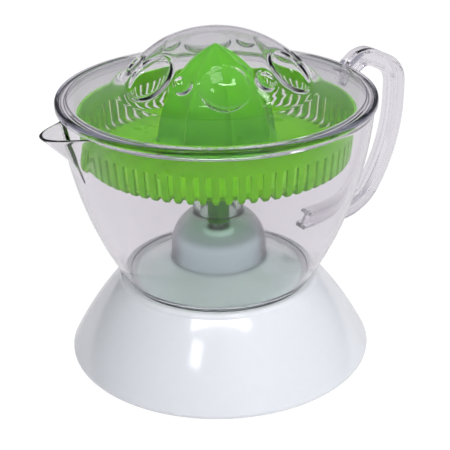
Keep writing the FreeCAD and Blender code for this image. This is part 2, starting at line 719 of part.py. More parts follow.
def hub_bush():
    """Bush that turns in the strainer's hub; the cone's six-sided stem slides through it."""
    body = cylinder(BUSH_RADIUS, HUB_TOP_Z - BUSH_LENGTH, HUB_TOP_Z)
    flange = cylinder(BUSH_FLANGE_RADIUS, HUB_TOP_Z, HUB_TOP_Z + BUSH_FLANGE)
    bore = hexagon(STEM_FLATS + 2 * STEM_CLEARANCE, HUB_TOP_Z - BUSH_LENGTH, HUB_TOP_Z + BUSH_FLANGE)
    return body.fuse(flange).cut(bore).removeSplitter()


def ogive(height, base, total):
    """Radius of a pointed arch, upright at its base, at a height above it."""
    sweep = (base ** 2 + total ** 2) / (2 * base)
    return base - sweep + math.sqrt(sweep ** 2 - height ** 2)


def ridged_loop(radius, height):
    """Closed loop of shallow hollow arcs between the cone's ridges."""
    step = 360.0 / CONE_RIDGES
    edges = []
    for k in range(CONE_RIDGES):
        angles = (CONE_RIDGE_TURN + step * k, CONE_RIDGE_TURN + step * (k + 0.5), CONE_RIDGE_TURN + step * (k + 1))
        radii = (radius, radius * CONE_VALLEY, radius)
        edges.append(Part.Arc(*[Vector(*polar(r, a), height) for r, a in zip(radii, angles)]).toShape())
    return Part.Wire(edges)


def reamer_cone():
    """Pointed cone with ridges, hollow underneath, on a six-sided drive stem."""
    rise = CONE_HEIGHT - CONE_SKIRT_HEIGHT
    shares = (0.0, 0.25, 0.5, 0.7, 0.85, 0.95, 0.99)
    loops = []
    for share in shares:
        height = CONE_SKIRT_HEIGHT + rise * share
        loops.append(ridged_loop(ogive(rise * share, CONE_RADIUS, rise), CONE_Z + height))
    body = Part.makeLoft(loops, True, False)
    skirt = cylinder(CONE_RADIUS, CONE_Z, CONE_Z + CONE_SKIRT_HEIGHT)
    hollow_radius = CONE_RADIUS * CONE_VALLEY - CONE_WALL
    hollow_height = CONE_HEIGHT * hollow_radius / CONE_RADIUS
    middle = hollow_height / 2
    hollow = revolve(outline(
        (0.0, CONE_Z),
        (hollow_radius, CONE_Z),
        ((ogive(middle, hollow_radius, hollow_height), CONE_Z + middle), (0.0, CONE_Z + hollow_height)),
    ))
    stem = hexagon(STEM_FLATS, STEM_BOTTOM_Z, CONE_Z + hollow_height)
    socket = flatted(SHAFT_RADIUS + STEM_CLEARANCE, SHAFT_FLAT + STEM_CLEARANCE, STEM_BOTTOM_Z, SHAFT_TOP_Z)
    return body.fuse(skirt).cut(hollow).fuse(stem).cut(socket).removeSplitter()


# Dust cover

def dome_centre():
    return RIM_Z + LID_DOME_HEIGHT - LID_DOME_RADIUS


def shoulder_meets_dome(inset):
    """Point where the sloping shoulder runs into the ball of the dome, both moved in by inset."""
    rim_z = RIM_Z + LID_RIM_HEIGHT - inset * math.hypot(1.0, LID_SHOULDER_SLOPE)
    above = rim_z + LID_SHOULDER_SLOPE * LID_RIM_RADIUS - dome_centre()
    size = LID_DOME_RADIUS - inset
    square = 1 + LID_SHOULDER_SLOPE ** 2
    across = LID_SHOULDER_SLOPE * above
    radius = (across + math.sqrt(across ** 2 - square * (above ** 2 - size ** 2))) / square
    return (radius, dome_centre() + above - LID_SHOULDER_SLOPE * radius)


def shoulder_height(radius, inset):
    foot = shoulder_meets_dome(inset)
    return foot[1] - LID_SHOULDER_SLOPE * (radius - foot[0])


def dome_steps(inset):
    """Top of the dome, then the arc down to the shoulder."""
    foot = shoulder_meets_dome(inset)
    size = LID_DOME_RADIUS - inset
    half_turn = math.asin(foot[0] / size) / 2
    middle = (size * math.sin(half_turn), dome_centre() + size * math.cos(half_turn))
    return (0.0, dome_centre() + size), (middle, foot)


def dimples(extra):
    """Balls that press the dimples into the dome, grown by extra."""
    rise = math.radians(DIMPLE_ELEVATION)
    balls = []
    kinds = ((DIMPLE_ROUND, DIMPLE_DEPTH, 0.0), (SMALL_DIMPLE_ROUND, SMALL_DIMPLE_DEPTH, 180.0 / DIMPLE_COUNT))
    for size, depth, turn in kinds:
        away = LID_DOME_RADIUS + size - depth
        centre = Vector(away * math.cos(rise), 0, dome_centre() + away * math.sin(rise))
        balls += ring_of(Part.makeSphere(size + extra, centre), DIMPLE_COUNT, DIMPLE_TURN + turn)
    return balls


def dust_cover():
    """Clear cover of even wall: sloping shoulder, dimpled dome and a ring that drops inside the jug's rim."""
    ring_outer = side_radius(RIM_Z, JUG_WALL) - LID_RING_CLEARANCE
    ring_inner = ring_outer - LID_WALL
    ring_low = RIM_Z - LID_RING_DEPTH
    rim_top = RIM_Z + LID_RIM_HEIGHT
    rim_slack = LID_RIM_ROUND * (1 - math.sqrt(0.5))
    outer = revolve(outline(
        *dome_steps(0.0),
        (LID_RIM_RADIUS - LID_RIM_ROUND, rim_top),
        ((LID_RIM_RADIUS - rim_slack, rim_top - rim_slack), (LID_RIM_RADIUS, rim_top - LID_RIM_ROUND)),
        (LID_RIM_RADIUS, RIM_Z),
        (ring_outer, RIM_Z),
        (ring_outer, ring_low),
        (0.0, ring_low),
    ))
    inner = revolve(outline(
        *dome_steps(LID_WALL),
        (ring_inner, shoulder_height(ring_inner, LID_WALL)),
        (ring_inner, ring_low),
        (0.0, ring_low),
    ))
    return outer.cut(dimples(0.0)).cut(inner.cut(dimples(LID_WALL))).removeSplitter()


# Shaft, thrust cup, spring and bushes

def drive_shaft():
    """Round shaft with flats where it slides through the output gear and where it drives the cone."""
    round_bar = cylinder(SHAFT_RADIUS, SHAFT_BOTTOM_Z, SHAFT_TOP_Z)
    trims = []
    for low, high in ((GEAR_PLATE_Z, GEAR_PLATE_Z + GEAR_FLAT_LENGTH), (COLLAR_TOP_Z, SHAFT_TOP_Z)):
        waste = box((-SHAFT_RADIUS, SHAFT_RADIUS), (SHAFT_FLAT, SHAFT_RADIUS), (low, high))
        trims += ring_of(waste, 2)
    return round_bar.cut(trims)


def upper_shaft_bush():
    low = BOSS_TOP_Z - BASE_WALL - SHAFT_BUSH_LENGTH
    return tube(shaft_bush_radius(), SHAFT_BORE_RADIUS, low, BOSS_TOP_Z - BASE_WALL)


def shaft_seal():
    return tube(seal_radius(), SHAFT_RADIUS + CUP_CLEARANCE, BOSS_TOP_Z, BOSS_TOP_Z + SEAL_HEIGHT)


def thrust_cup():
    """Sliding cup under the shaft; its tab presses the switch's lever."""
    body = cylinder(CUP_RADIUS, CUP_Z, CUP_TOP_Z)
    tab = box((-CUP_TAB_REACH, 0.0), (-CUP_TAB_WIDTH / 2, CUP_TAB_WIDTH / 2), (CUP_TAB_Z, CUP_TOP_Z))
    return body.fuse(tab).cut(cylinder(SHAFT_BORE_RADIUS, SHAFT_BOTTOM_Z, CUP_TOP_Z)).removeSplitter()


def tangent_arcs(start, start_way, end, end_way):
    """Two arcs that join smoothly between two points with given directions."""
    gap = end - start
    ways = start_way + end_way
    turn = 2 * (1 - start_way.dot(end_way))
    along = gap.dot(ways)
    reach = (math.sqrt(along ** 2 + turn * gap.dot(gap)) - along) / turn
    first = start + start_way * reach
    second = end - end_way * reach
    joint = (first + second) * 0.5
    arcs = []
    for a, corner, b in ((start, first, joint), (joint, second, end)):
        chord = (a + b) * 0.5
        height = (chord - corner).Length
        slope = math.acos(height / reach)
        middle = corner + (chord - corner) * ((reach / math.cos(slope) - reach * math.tan(slope)) / height)
        arcs.append(Part.Arc(a, middle, b).toShape())
    return arcs


def return_spring():
    """Round-wire coil spring between the bottom cover and the thrust cup."""
    low = COVER_TOP_Z + SPRING_SEAT_GAP + SPRING_WIRE_RADIUS
    high = CUP_Z - SPRING_SEAT_GAP - SPRING_WIRE_RADIUS
    quarters = SPRING_TURNS * 4
    climb = (high - low) / (2 * math.pi * SPRING_TURNS)
    places = []
    for k in range(quarters + 1):
        angle = 90.0 * k
        place = Vector(*polar(SPRING_RADIUS, angle), low + climb * math.radians(angle))
        way = Vector(*polar(SPRING_RADIUS, angle + 90.0), climb).normalize()
        places.append((place, way))
    edges = []
    for (start, start_way), (end, end_way) in zip(places, places[1:]):
        edges += tangent_arcs(start, start_way, end, end_way)
    wire_loop = Part.Wire(Part.makeCircle(SPRING_WIRE_RADIUS, places[0][0], places[0][1]))
    return Part.Wire(edges).makePipeShell([wire_loop], True, False)


# Gear train

def idler_distance():
    return OUTPUT_MODULE * (OUTPUT_TEETH + IDLER_PINION_TEETH) / 2


def motor_distance():
    return MOTOR_MODULE * (IDLER_TEETH + MOTOR_TEETH) / 2


def idler_place():
    """Axle position at the right mesh distance from both the drive axis and the motor."""
    span = math.hypot(MOTOR_X, MOTOR_Y)
    along = (idler_distance() ** 2 - motor_distance() ** 2 + span ** 2) / (2 * span)
    across = math.sqrt(idler_distance() ** 2 - along ** 2)
    ahead = (MOTOR_X / span, MOTOR_Y / span)
    return (ahead[0] * along + ahead[1] * across, ahead[1] * along - ahead[0] * across)


def gear_teeth(teeth, module, shift, low, high, x, y, turn):
    """Spur gear blank with involute teeth, one tooth centred on the angle turn."""
    pitch = module * teeth / 2
    pressure = math.radians(PRESSURE_ANGLE)
    base = pitch * math.cos(pressure)
    tip = pitch + module * (1 + shift) - BACKLASH
    root = pitch - module * (1.25 - shift)
    half = (math.pi / 2 + 2 * shift * math.tan(pressure)) / teeth - BACKLASH / (2 * pitch)
    spread = math.tan(pressure) - pressure

    def half_angle(radius):
        lean = math.acos(min(1.0, base / radius))
        return math.degrees(half + spread - (math.tan(lean) - lean))

    flank = [(r, half_angle(max(r, base))) for r in (root, max(root, (root + pitch) / 2), pitch, tip)]
    corners = []
    for k in range(teeth):
        centre = turn + 360.0 * k / teeth
        corners += [polar(r, centre - a) for r, a in flank]
        corners += [polar(r, centre + a) for r, a in reversed(flank)]
    return prism([(x + cx, y + cy) for cx, cy in corners], low, high)


def facing(a, b):
    return math.degrees(math.atan2(b[1] - a[1], b[0] - a[0]))


def output_gear():
    """Large gear on the drive axis; its hub runs in the gear bush and slides on the shaft's flats."""
    towards_idler = facing((0.0, 0.0), idler_place())
    wheel = gear_teeth(OUTPUT_TEETH, OUTPUT_MODULE, -PINION_SHIFT, OUTPUT_Z, OUTPUT_Z + OUTPUT_FACE, 0.0, 0.0,
                       towards_idler)
    hub = cylinder(OUTPUT_HUB_RADIUS, GEAR_SHOULDER_Z, OUTPUT_Z + OUTPUT_FACE)
    journal = cylinder(OUTPUT_JOURNAL_RADIUS, GEAR_PLATE_Z, GEAR_SHOULDER_Z)
    bore = flatted(SHAFT_RADIUS + STEM_CLEARANCE, SHAFT_FLAT + STEM_CLEARANCE, GEAR_PLATE_Z, OUTPUT_Z + OUTPUT_FACE)
    return wheel.fuse([hub, journal]).cut(bore).removeSplitter()


def gear_bush():
    bore = OUTPUT_JOURNAL_RADIUS + RUNNING_CLEARANCE
    sleeve = cylinder(bore + GEAR_BUSH_WALL, GEAR_PLATE_Z, PLATE_TOP_Z)
    flange = cylinder(GEAR_BUSH_FLANGE_RADIUS, PLATE_TOP_Z, GEAR_SHOULDER_Z)
    return sleeve.fuse(flange).cut(cylinder(bore, GEAR_PLATE_Z, GEAR_SHOULDER_Z)).removeSplitter()


def idler_gear():
    """Compound gear: large wheel driven by the motor, small pinion that drives the output gear."""
    x, y = idler_place()
    wheel_turn = facing((x, y), (MOTOR_X, MOTOR_Y))
    pinion_turn = facing((x, y), (0.0, 0.0)) + 180.0 / IDLER_PINION_TEETH
    wheel = gear_teeth(IDLER_TEETH, MOTOR_MODULE, -PINION_SHIFT, IDLER_Z, IDLER_PINION_Z, x, y, wheel_turn)
    pinion = gear_teeth(IDLER_PINION_TEETH, OUTPUT_MODULE, PINION_SHIFT, IDLER_PINION_Z, IDLER_TOP_Z, x, y,
                        pinion_turn)
    return wheel.fuse(pinion).cut(cylinder(AXLE_RADIUS + RUNNING_CLEARANCE, IDLER_Z, IDLER_TOP_Z, x, y))


def idler_axle():
    """Pin pressed in the gear plate, with a shoulder under the idler."""
    x, y = idler_place()
    pin = cylinder(AXLE_RADIUS, GEAR_PLATE_Z, IDLER_TOP_Z + CLIP_GAP + CLIP_THICKNESS + AXLE_TAIL, x, y)
    return pin.fuse(cylinder(CLIP_RADIUS, PLATE_TOP_Z, IDLER_Z, x, y)).removeSplitter()


def idler_clip():
    x, y = idler_place()
    low = IDLER_TOP_Z + CLIP_GAP
    ring = tube(CLIP_RADIUS, AXLE_RADIUS + PRESS_CLEARANCE, low, low + CLIP_THICKNESS, x, y)
    return ring.cut(box((x, x + CLIP_RADIUS), (y - AXLE_RADIUS / 2, y + AXLE_RADIUS / 2), (low, low + CLIP_THICKNESS)))


def gear_plate():
    """Steel plate under the housing that carries the gears and the motor."""
    plate = cylinder(GEAR_SCREW_CIRCLE + GEAR_PLATE_MARGIN, GEAR_PLATE_Z, PLATE_TOP_Z)
    bush_hole = OUTPUT_JOURNAL_RADIUS + RUNNING_CLEARANCE + GEAR_BUSH_WALL + PRESS_CLEARANCE
    holes = [(bush_hole, 0.0, 0.0), (AXLE_RADIUS + PRESS_CLEARANCE, *idler_place())]
    holes.append((ROTOR_BUSH_RADIUS + PRESS_CLEARANCE, MOTOR_X, MOTOR_Y))
    holes += [(SCREW_RADIUS + PRESS_CLEARANCE, x, y) for x, y in gear_screw_places() + motor_screw_places()]
    return plate.cut([cylinder(radius, GEAR_PLATE_Z, PLATE_TOP_Z, x, y) for radius, x, y in holes])


def gear_plate_screws():
    places = gear_screw_places()
    return Part.makeCompound([screw(x, y, GEAR_PLATE_Z, GEAR_PLATE + SCREW_GRIP) for x, y in places])


# Motor

def arm_outer():
    return ARM_INNER + ARM_WIDTH


def stator_span():
    """Far yoke face, window end and pole end along X."""
    pole_start = MOTOR_X - POLE_HALF_LENGTH
    window_start = pole_start - COIL_LENGTH - 2 * COIL_END_GAP
    return window_start - YOKE_WIDTH, window_start, pole_start, MOTOR_X + POLE_HALF_LENGTH


def motor_screw_places():
    middle = ARM_INNER + ARM_WIDTH / 2
    yoke_x = stator_span()[0] + YOKE_WIDTH / 2
    return [(MOTOR_X, MOTOR_Y + middle), (MOTOR_X, MOTOR_Y - middle), (yoke_x, MOTOR_Y)]


def stator_core():
    """U-shaped lamination stack with two pole shoes round the rotor."""
    yoke_x, window_x, pole_x, end_x = stator_span()
    z_range = (STACK_Z, STACK_TOP_Z)
    core = box((yoke_x, end_x), (MOTOR_Y - arm_outer(), MOTOR_Y + arm_outer()), z_range)
    cuts = [
        box((window_x, pole_x), (MOTOR_Y - ARM_INNER, MOTOR_Y + ARM_INNER), z_range),
        box((pole_x, end_x), (MOTOR_Y - POLE_MOUTH, MOTOR_Y + POLE_MOUTH), z_range),
        cylinder(ROTOR_RADIUS + AIR_GAP, STACK_Z, STACK_TOP_Z, MOTOR_X, MOTOR_Y),
    ]
    cuts += [cylinder(SCREW_RADIUS + PRESS_CLEARANCE, STACK_Z, STACK_TOP_Z, x, y) for x, y in motor_screw_places()]
    return core.cut(cuts).removeSplitter()


def arm_sleeve(side, grow, low_x, high_x):
    """Block round one stator arm, larger than the arm by grow on each side."""
    middle = MOTOR_Y + side * (ARM_INNER + ARM_WIDTH / 2)
    half = ARM_WIDTH / 2 + grow
    return box((low_x, high_x), (middle - half, middle + half), (STACK_Z - grow, STACK_TOP_Z + grow))


def coil_ends():
    window_x = stator_span()[1]
    return window_x + COIL_END_GAP, window_x + COIL_END_GAP + COIL_LENGTH


def coil_bobbins():
    low, high = coil_ends()
    bobbins = []
    for side in (-1, 1):
        core = arm_sleeve(side, PRESS_CLEARANCE + BOBBIN_WALL, low, high)
        grow = PRESS_CLEARANCE + BOBBIN_WALL + COIL_BUILD
        flanges = [arm_sleeve(side, grow, low, low + BOBBIN_FLANGE), arm_sleeve(side, grow, high - BOBBIN_FLANGE, high)]
        bobbins.append(core.fuse(flanges).cut(arm_sleeve(side, PRESS_CLEARANCE, low, high)).removeSplitter())
    return Part.makeCompound(bobbins)


def coil_windings():
    low, high = coil_ends()
    low += BOBBIN_FLANGE
    high -= BOBBIN_FLANGE
    windings = []
    for side in (-1, 1):
        inside = PRESS_CLEARANCE + BOBBIN_WALL
        pack = arm_sleeve(side, inside + COIL_BUILD * 0.85, low, high)
        long_edges = [edge for edge in pack.Edges if edge.BoundBox.XLength > COIL_LENGTH / 2]
        pack = pack.makeFillet(COIL_BUILD * 0.6, long_edges)
        windings.append(pack.cut(arm_sleeve(side, inside, low, high)))
    return Part.makeCompound(windings)


def rotor_magnet():
    return tube(ROTOR_RADIUS, ROTOR_SHAFT_RADIUS + PRESS_CLEARANCE, STACK_Z, STACK_TOP_Z, MOTOR_X, MOTOR_Y)


def rotor_shaft():
    return cylinder(ROTOR_SHAFT_RADIUS, ROTOR_SHAFT_BOTTOM_Z, IDLER_PINION_Z + PINION_OVERHANG, MOTOR_X, MOTOR_Y)


def motor_pinion():
    turn = facing((MOTOR_X, MOTOR_Y), idler_place()) + 180.0 / MOTOR_TEETH
    teeth = gear_teeth(MOTOR_TEETH, MOTOR_MODULE, PINION_SHIFT, IDLER_Z, IDLER_PINION_Z, MOTOR_X, MOTOR_Y, turn)
    return teeth.cut(cylinder(ROTOR_SHAFT_RADIUS + PRESS_CLEARANCE, IDLER_Z, IDLER_PINION_Z, MOTOR_X, MOTOR_Y))


def rotor_bushes():
    """Lower bush in the bracket and upper bush in the gear plate."""
    bracket_low = STACK_Z - BRACKET_DROP - BRACKET_THICKNESS
    lower = bracket_low + BRACKET_THICKNESS / 2 - ROTOR_BUSH_LENGTH / 2
    upper = GEAR_PLATE_Z + GEAR_PLATE / 2 - ROTOR_BUSH_LENGTH / 2
    bore = ROTOR_SHAFT_RADIUS + RUNNING_CLEARANCE
    return Part.makeCompound([
        tube(ROTOR_BUSH_RADIUS, bore, low, low + ROTOR_BUSH_LENGTH, MOTOR_X, MOTOR_Y) for low in (lower, upper)
    ])


def motor_bracket():
    """Bridge under the stator that holds the rotor's lower bush."""
    low = STACK_Z - BRACKET_DROP - BRACKET_THICKNESS
    half = BRACKET_WIDTH / 2
    x_range = (MOTOR_X - half, MOTOR_X + half)
    bridge = box(x_range, (MOTOR_Y - arm_outer(), MOTOR_Y + arm_outer()), (low, low + BRACKET_THICKNESS))
    feet = [box(x_range, (MOTOR_Y - arm_outer(), MOTOR_Y - ARM_INNER), (low, STACK_Z)),
            box(x_range, (MOTOR_Y + ARM_INNER, MOTOR_Y + arm_outer()), (low, STACK_Z))]
    holes = [cylinder(ROTOR_BUSH_RADIUS + PRESS_CLEARANCE, low, STACK_Z, MOTOR_X, MOTOR_Y)]
    holes += [cylinder(SCREW_RADIUS + PRESS_CLEARANCE, low, STACK_Z, x, y) for x, y in motor_screw_places()[:2]]
    return bridge.fuse(feet).cut(holes).removeSplitter()


def stator_spacers():
    return Part.makeCompound([tube(SPACER_RADIUS, SCREW_RADIUS + PRESS_CLEARANCE, STACK_TOP_Z, GEAR_PLATE_Z, x, y)
                              for x, y in motor_screw_places()])


def motor_screws():
    bracket_low = STACK_Z - BRACKET_DROP - BRACKET_THICKNESS
    seats = (bracket_low, bracket_low, STACK_Z)
    return Part.makeCompound([screw(x, y, seat, PLATE_TOP_Z - seat)
                              for (x, y), seat in zip(motor_screw_places(), seats)])


# Start switch

def cross_pin(radius, half_length):
    """Bar along Y at the lever's pivot."""
    return Part.makeCylinder(radius, 2 * half_length, Vector(PIVOT_X, -half_length, PIVOT_Z), Vector(0, 1, 0))


def switch_body():
    """Snap switch with two hinge cheeks on top and a well for its button."""
    half = SWITCH_WIDTH / 2
    body = box((SWITCH_FAR_X, SWITCH_NEAR_X), (-half, half), (SWITCH_Z, SWITCH_TOP_Z))
    cheek_x = (SWITCH_FAR_X, PIVOT_X + LEVER_PIVOT_INSET)
    cheek_z = (SWITCH_TOP_Z, PIVOT_Z + LEVER_PIVOT_RADIUS + RUNNING_CLEARANCE + LEVER_CHEEK_WALL)
    inner = LEVER_WIDTH / 2 + CUP_CLEARANCE
    cheeks = [box(cheek_x, (inner, half), cheek_z), box(cheek_x, (-half, -inner), cheek_z)]
    holes = [cross_pin(LEVER_PIVOT_RADIUS + RUNNING_CLEARANCE, half)]
    holes.append(cylinder(BUTTON_RADIUS + RUNNING_CLEARANCE, SWITCH_TOP_Z - BUTTON_ROOT, SWITCH_TOP_Z, BUTTON_X, 0.0))
    return body.fuse(cheeks).cut(holes).removeSplitter()


def switch_button():
    return cylinder(BUTTON_RADIUS, SWITCH_TOP_Z - BUTTON_ROOT + PRESS_TRAVEL / 2, LEVER_Z - LEVER_GAP, BUTTON_X, 0.0)


def switch_lever():
    """Flat strip over the button, on a knuckle and pin at its far end."""
    half = LEVER_WIDTH / 2
    near_x = -CUP_TAB_REACH + LEVER_OVERLAP
    strip = box((SWITCH_FAR_X, near_x), (-half, half), (LEVER_Z, LEVER_TOP_Z))
    knuckle = box((PIVOT_X - LEVER_KNUCKLE, PIVOT_X + LEVER_KNUCKLE), (-half, half), (PIVOT_Z, LEVER_Z))
    round_end = cross_pin(LEVER_KNUCKLE, half)
    return strip.fuse([knuckle, round_end, cross_pin(LEVER_PIVOT_RADIUS, SWITCH_WIDTH / 2)]).removeSplitter()


NODES = (
    dust_cover, reamer_cone, strainer_basket, hub_bush, juice_jug, jug_core, pouring_lip, jug_handle,
    base_housing, bottom_cover, rubber_feet, cover_screws, cord_gland,
    drive_shaft, upper_shaft_bush, shaft_seal, thrust_cup, return_spring,
    output_gear, gear_bush, idler_gear, idler_axle, idler_clip, gear_plate, gear_plate_screws,
    stator_core, coil_bobbins, coil_windings, rotor_magnet, rotor_shaft, motor_pinion, rotor_bushes,
    motor_bracket, stator_spacers, motor_screws,
    switch_body, switch_button, switch_lever,
)

os.makedirs("parts", exist_ok=True)
for make in NODES:
    shape = make()
    if not shape.isValid():
        raise ValueError("not a valid solid: " + make.__name__)
    shape.exportStep("parts/" + make.__name__ + ".step")
    print(make.__name__, len(shape.Solids), round(shape.Volume, 1))
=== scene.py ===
"""Citrus press juicer: the visible pieces, their finishes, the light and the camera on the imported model."""

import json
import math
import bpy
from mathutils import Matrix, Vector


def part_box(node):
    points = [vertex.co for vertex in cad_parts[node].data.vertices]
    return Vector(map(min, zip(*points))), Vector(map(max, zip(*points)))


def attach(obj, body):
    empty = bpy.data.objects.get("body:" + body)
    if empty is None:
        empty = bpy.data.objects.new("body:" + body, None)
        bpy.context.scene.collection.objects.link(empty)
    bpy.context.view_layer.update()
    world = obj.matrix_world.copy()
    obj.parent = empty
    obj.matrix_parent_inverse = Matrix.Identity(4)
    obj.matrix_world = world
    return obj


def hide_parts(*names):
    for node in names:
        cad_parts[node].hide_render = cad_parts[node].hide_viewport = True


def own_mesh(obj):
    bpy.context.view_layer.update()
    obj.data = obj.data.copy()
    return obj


bl_info = {
    "name": "Citrus press juicer",
    "version": (1, 0, 0),
    "blender": (4, 5, 0),
    "location": "View3D > Sidebar > Juicer",
    "description": "Builds the juicer's visible pieces, finishes and studio on the packed model",
    "category": "Object",
}

import bpy
from bpy.props import FloatProperty, FloatVectorProperty, IntProperty, PointerProperty
from mathutils import Matrix, Vector

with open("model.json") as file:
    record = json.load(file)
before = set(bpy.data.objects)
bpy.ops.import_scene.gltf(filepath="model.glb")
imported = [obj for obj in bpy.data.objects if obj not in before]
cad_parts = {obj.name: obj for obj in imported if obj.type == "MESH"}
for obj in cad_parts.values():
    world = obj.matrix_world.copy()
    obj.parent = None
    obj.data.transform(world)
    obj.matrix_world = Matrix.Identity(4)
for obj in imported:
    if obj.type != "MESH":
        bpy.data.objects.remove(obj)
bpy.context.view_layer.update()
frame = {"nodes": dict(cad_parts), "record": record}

# One millimetre, in metres
MM = 0.001

# Sizes of the base and the jug, in millimetres
DECK_Z = 50.0
DECK_INNER_RADIUS = 47.0
DECK_RISE = 9.5
BOSS_RADIUS = 23.6
BOSS_TOP_Z = 74.0
DECK_SLOPE = DECK_RISE / (DECK_INNER_RADIUS - BOSS_RADIUS)
RIM_Z = 153.3
JUG_WALL = 2.2
JUG_FOOT_RADIUS = 53.5
JUG_SIDE_CENTRE = (-132.683, 166.399)
JUG_SIDE_SWEEP = 219.574
FLOOR_CLEARANCE = 0.3
FLOOR_WALL = 1.6
LIP_DEPTH = 27.5
LIP_BLEND = 4.4
TUBE_TOP_Z = 126.0

# Sizes of the strainer, the cone, the cover and the spring, in millimetres
STRAINER_Z = 122.0
STRAINER_TOP_Z = 148.0
CONE_Z = 127.5
CONE_SKIRT = 3.0
STEM_LOW_Z = 80.5
STEM_LENGTH = 87.0
STEM_ACROSS_FLATS = 12.0
STEM_EDGE = 0.5
SOCKET_RADIUS = 4.15
SOCKET_DEPTH = 32.0
DOME_CENTRE_Z = 126.3
LID_WALL = 2.0
LID_RADIUS = 88.0
LID_EDGE_Z = 157.3
LID_SLOPE = 0.2
SPRING_RADIUS = 5.2
SPRING_WIRE = 0.5
SPRING_TURNS = 4

# Length from which a run of a profile is held flat, and how near to its ends, in millimetres
HOLD_LENGTH = 2.6
HOLD_REACH = 0.35

# Distance within which points are merged, in metres
MERGE_DISTANCE = 2e-6

# Camera: angles in degrees, places in metres, lens and sensor in millimetres
CAMERA_TURN = 32.0
CAMERA_TILT = 25.21
CAMERA_ROLL = 0.84
CAMERA_ASIDE = 0.00369
CAMERA_AIM_Z = 0.077
CAMERA_DISTANCE = 0.7
CAMERA_LENS = 97.7
CAMERA_SENSOR = 36.0


# Profiles, as lists of (radius, height)

def circle_through(a, b, c):
    """Centre and radius of the circle through three points."""
    ab = (b[0] - a[0], b[1] - a[1])
    ac = (c[0] - a[0], c[1] - a[1])
    cross = 2 * (ab[0] * ac[1] - ab[1] * ac[0])
    ab_square = ab[0] ** 2 + ab[1] ** 2
    ac_square = ac[0] ** 2 + ac[1] ** 2
    x = (ac[1] * ab_square - ab[1] * ac_square) / cross
    y = (ab[0] * ac_square - ac[0] * ab_square) / cross
    return (a[0] + x, a[1] + y), math.hypot(x, y)


def arc(start, through, end, steps):
    """Points after start along the arc that passes through a middle point and stops at end."""
    centre, radius = circle_through(start, through, end)
    first = math.atan2(start[1] - centre[1], start[0] - centre[0])
    middle = math.atan2(through[1] - centre[1], through[0] - centre[0])
    last = math.atan2(end[1] - centre[1], end[0] - centre[0])
    turn = (last - first) % math.tau
    if (middle - first) % math.tau > turn:
        turn -= math.tau
    points = []
    for k in range(1, steps + 1):
        angle = first + turn * k / steps
        points.append((centre[0] + radius * math.cos(angle), centre[1] + radius * math.sin(angle)))
    return points


def softened(corners, steps=4):
    """Closed outline whose corners (radius, height, rounding) are rounded off."""
    points = []
    for k, (x, z, size) in enumerate(corners):
        if not size:
            points.append((x, z))
            continue
        before = Vector(corners[k - 1][:2]) - Vector((x, z))
        after = Vector(corners[(k + 1) % len(corners)][:2]) - Vector((x, z))
        before.normalize()
        after.normalize()
        half = before.angle(after) / 2
        reach = size / math.tan(half)
        start = Vector((x, z)) + before * reach
        end = Vector((x, z)) + after * reach
        inwards = (before + after).normalized()
        middle = Vector((x, z)) + inwards * (size / math.sin(half) - size)
        points.append(tuple(start))
        points += arc(tuple(start), tuple(middle), tuple(end), steps)
    return points


def side_radius(height, inset):
    """Radius of the jug's side at a height, moved in by inset."""
    return JUG_SIDE_CENTRE[0] + math.sqrt((JUG_SIDE_SWEEP - inset) ** 2 - (height - JUG_SIDE_CENTRE[1]) ** 2)


def floor_under(radius):
    """Height of the jug's underside at a radius, just over the slope of the deck."""
    return DECK_Z + DECK_SLOPE * (DECK_INNER_RADIUS - radius) + FLOOR_CLEARANCE


def held(points):
    """The closed outline with two more points near the ends of each long run, to keep its shading flat."""
    result = [points[0]]
    for start, end in zip(points, points[1:] + points[:1]):
        length = math.dist(start, end)
        if length > HOLD_LENGTH:
            for share in (HOLD_REACH / length, 1 - HOLD_REACH / length):
                x = start[0] + (end[0] - start[0]) * share
                z = start[1] + (end[1] - start[1]) * share
                result.append((x, z))
        result.append(end)
    return result


# Modelling steps

def deselect():
    """Leave nothing selected."""
    bpy.ops.object.select_all(action="DESELECT")


def only(piece):
    """Select one piece and make it the active one."""
    deselect()
    piece.select_set(True)
    bpy.context.view_layer.objects.active = piece


def drawn(name, points):
    """New piece in edit mode: a closed outline drawn from point to point in the XZ plane, all selected."""
    deselect()
    bpy.ops.mesh.primitive_plane_add(size=MM)
    piece = bpy.context.object
    piece.name = name
    piece.data.name = name
    bpy.ops.object.mode_set(mode="EDIT")
    bpy.ops.mesh.merge(type="CENTER")
    route = held(points)
    bpy.ops.transform.translate(value=(route[0][0] * MM, 0, route[0][1] * MM))
    here = route[0]
    for corner in route[1:]:
        step = ((corner[0] - here[0]) * MM, 0, (corner[1] - here[1]) * MM)
        bpy.ops.mesh.extrude_vertices_move(TRANSFORM_OT_translate={"value": step})
        here = corner
    bpy.ops.mesh.select_all(action="SELECT")
    bpy.ops.mesh.remove_doubles(threshold=MERGE_DISTANCE)
    return piece


def swept(piece, steps, rise=0.0, turns=1):
    """Sweep an outline round the drive axis, rising with each turn, and leave the piece in edit mode."""
    bpy.ops.object.mode_set(mode="OBJECT")
    bpy.ops.object.modifier_add(type="SCREW")
    sweep = piece.modifiers[-1]
    sweep.axis = "Z"
    sweep.angle = math.tau
    sweep.screw_offset = rise
    sweep.iterations = turns
    sweep.steps = steps
    sweep.render_steps = steps
    sweep.use_merge_vertices = rise == 0.0
    sweep.merge_threshold = MERGE_DISTANCE
    bpy.ops.object.modifier_apply(modifier=sweep.name)
    bpy.ops.object.mode_set(mode="EDIT")
    bpy.ops.mesh.select_all(action="SELECT")


def faced_outwards():
    """Turn all faces of the piece in edit mode outwards and leave edit mode."""
    bpy.ops.mesh.select_all(action="SELECT")
    bpy.ops.mesh.normals_make_consistent(inside=False)
    bpy.ops.object.mode_set(mode="OBJECT")


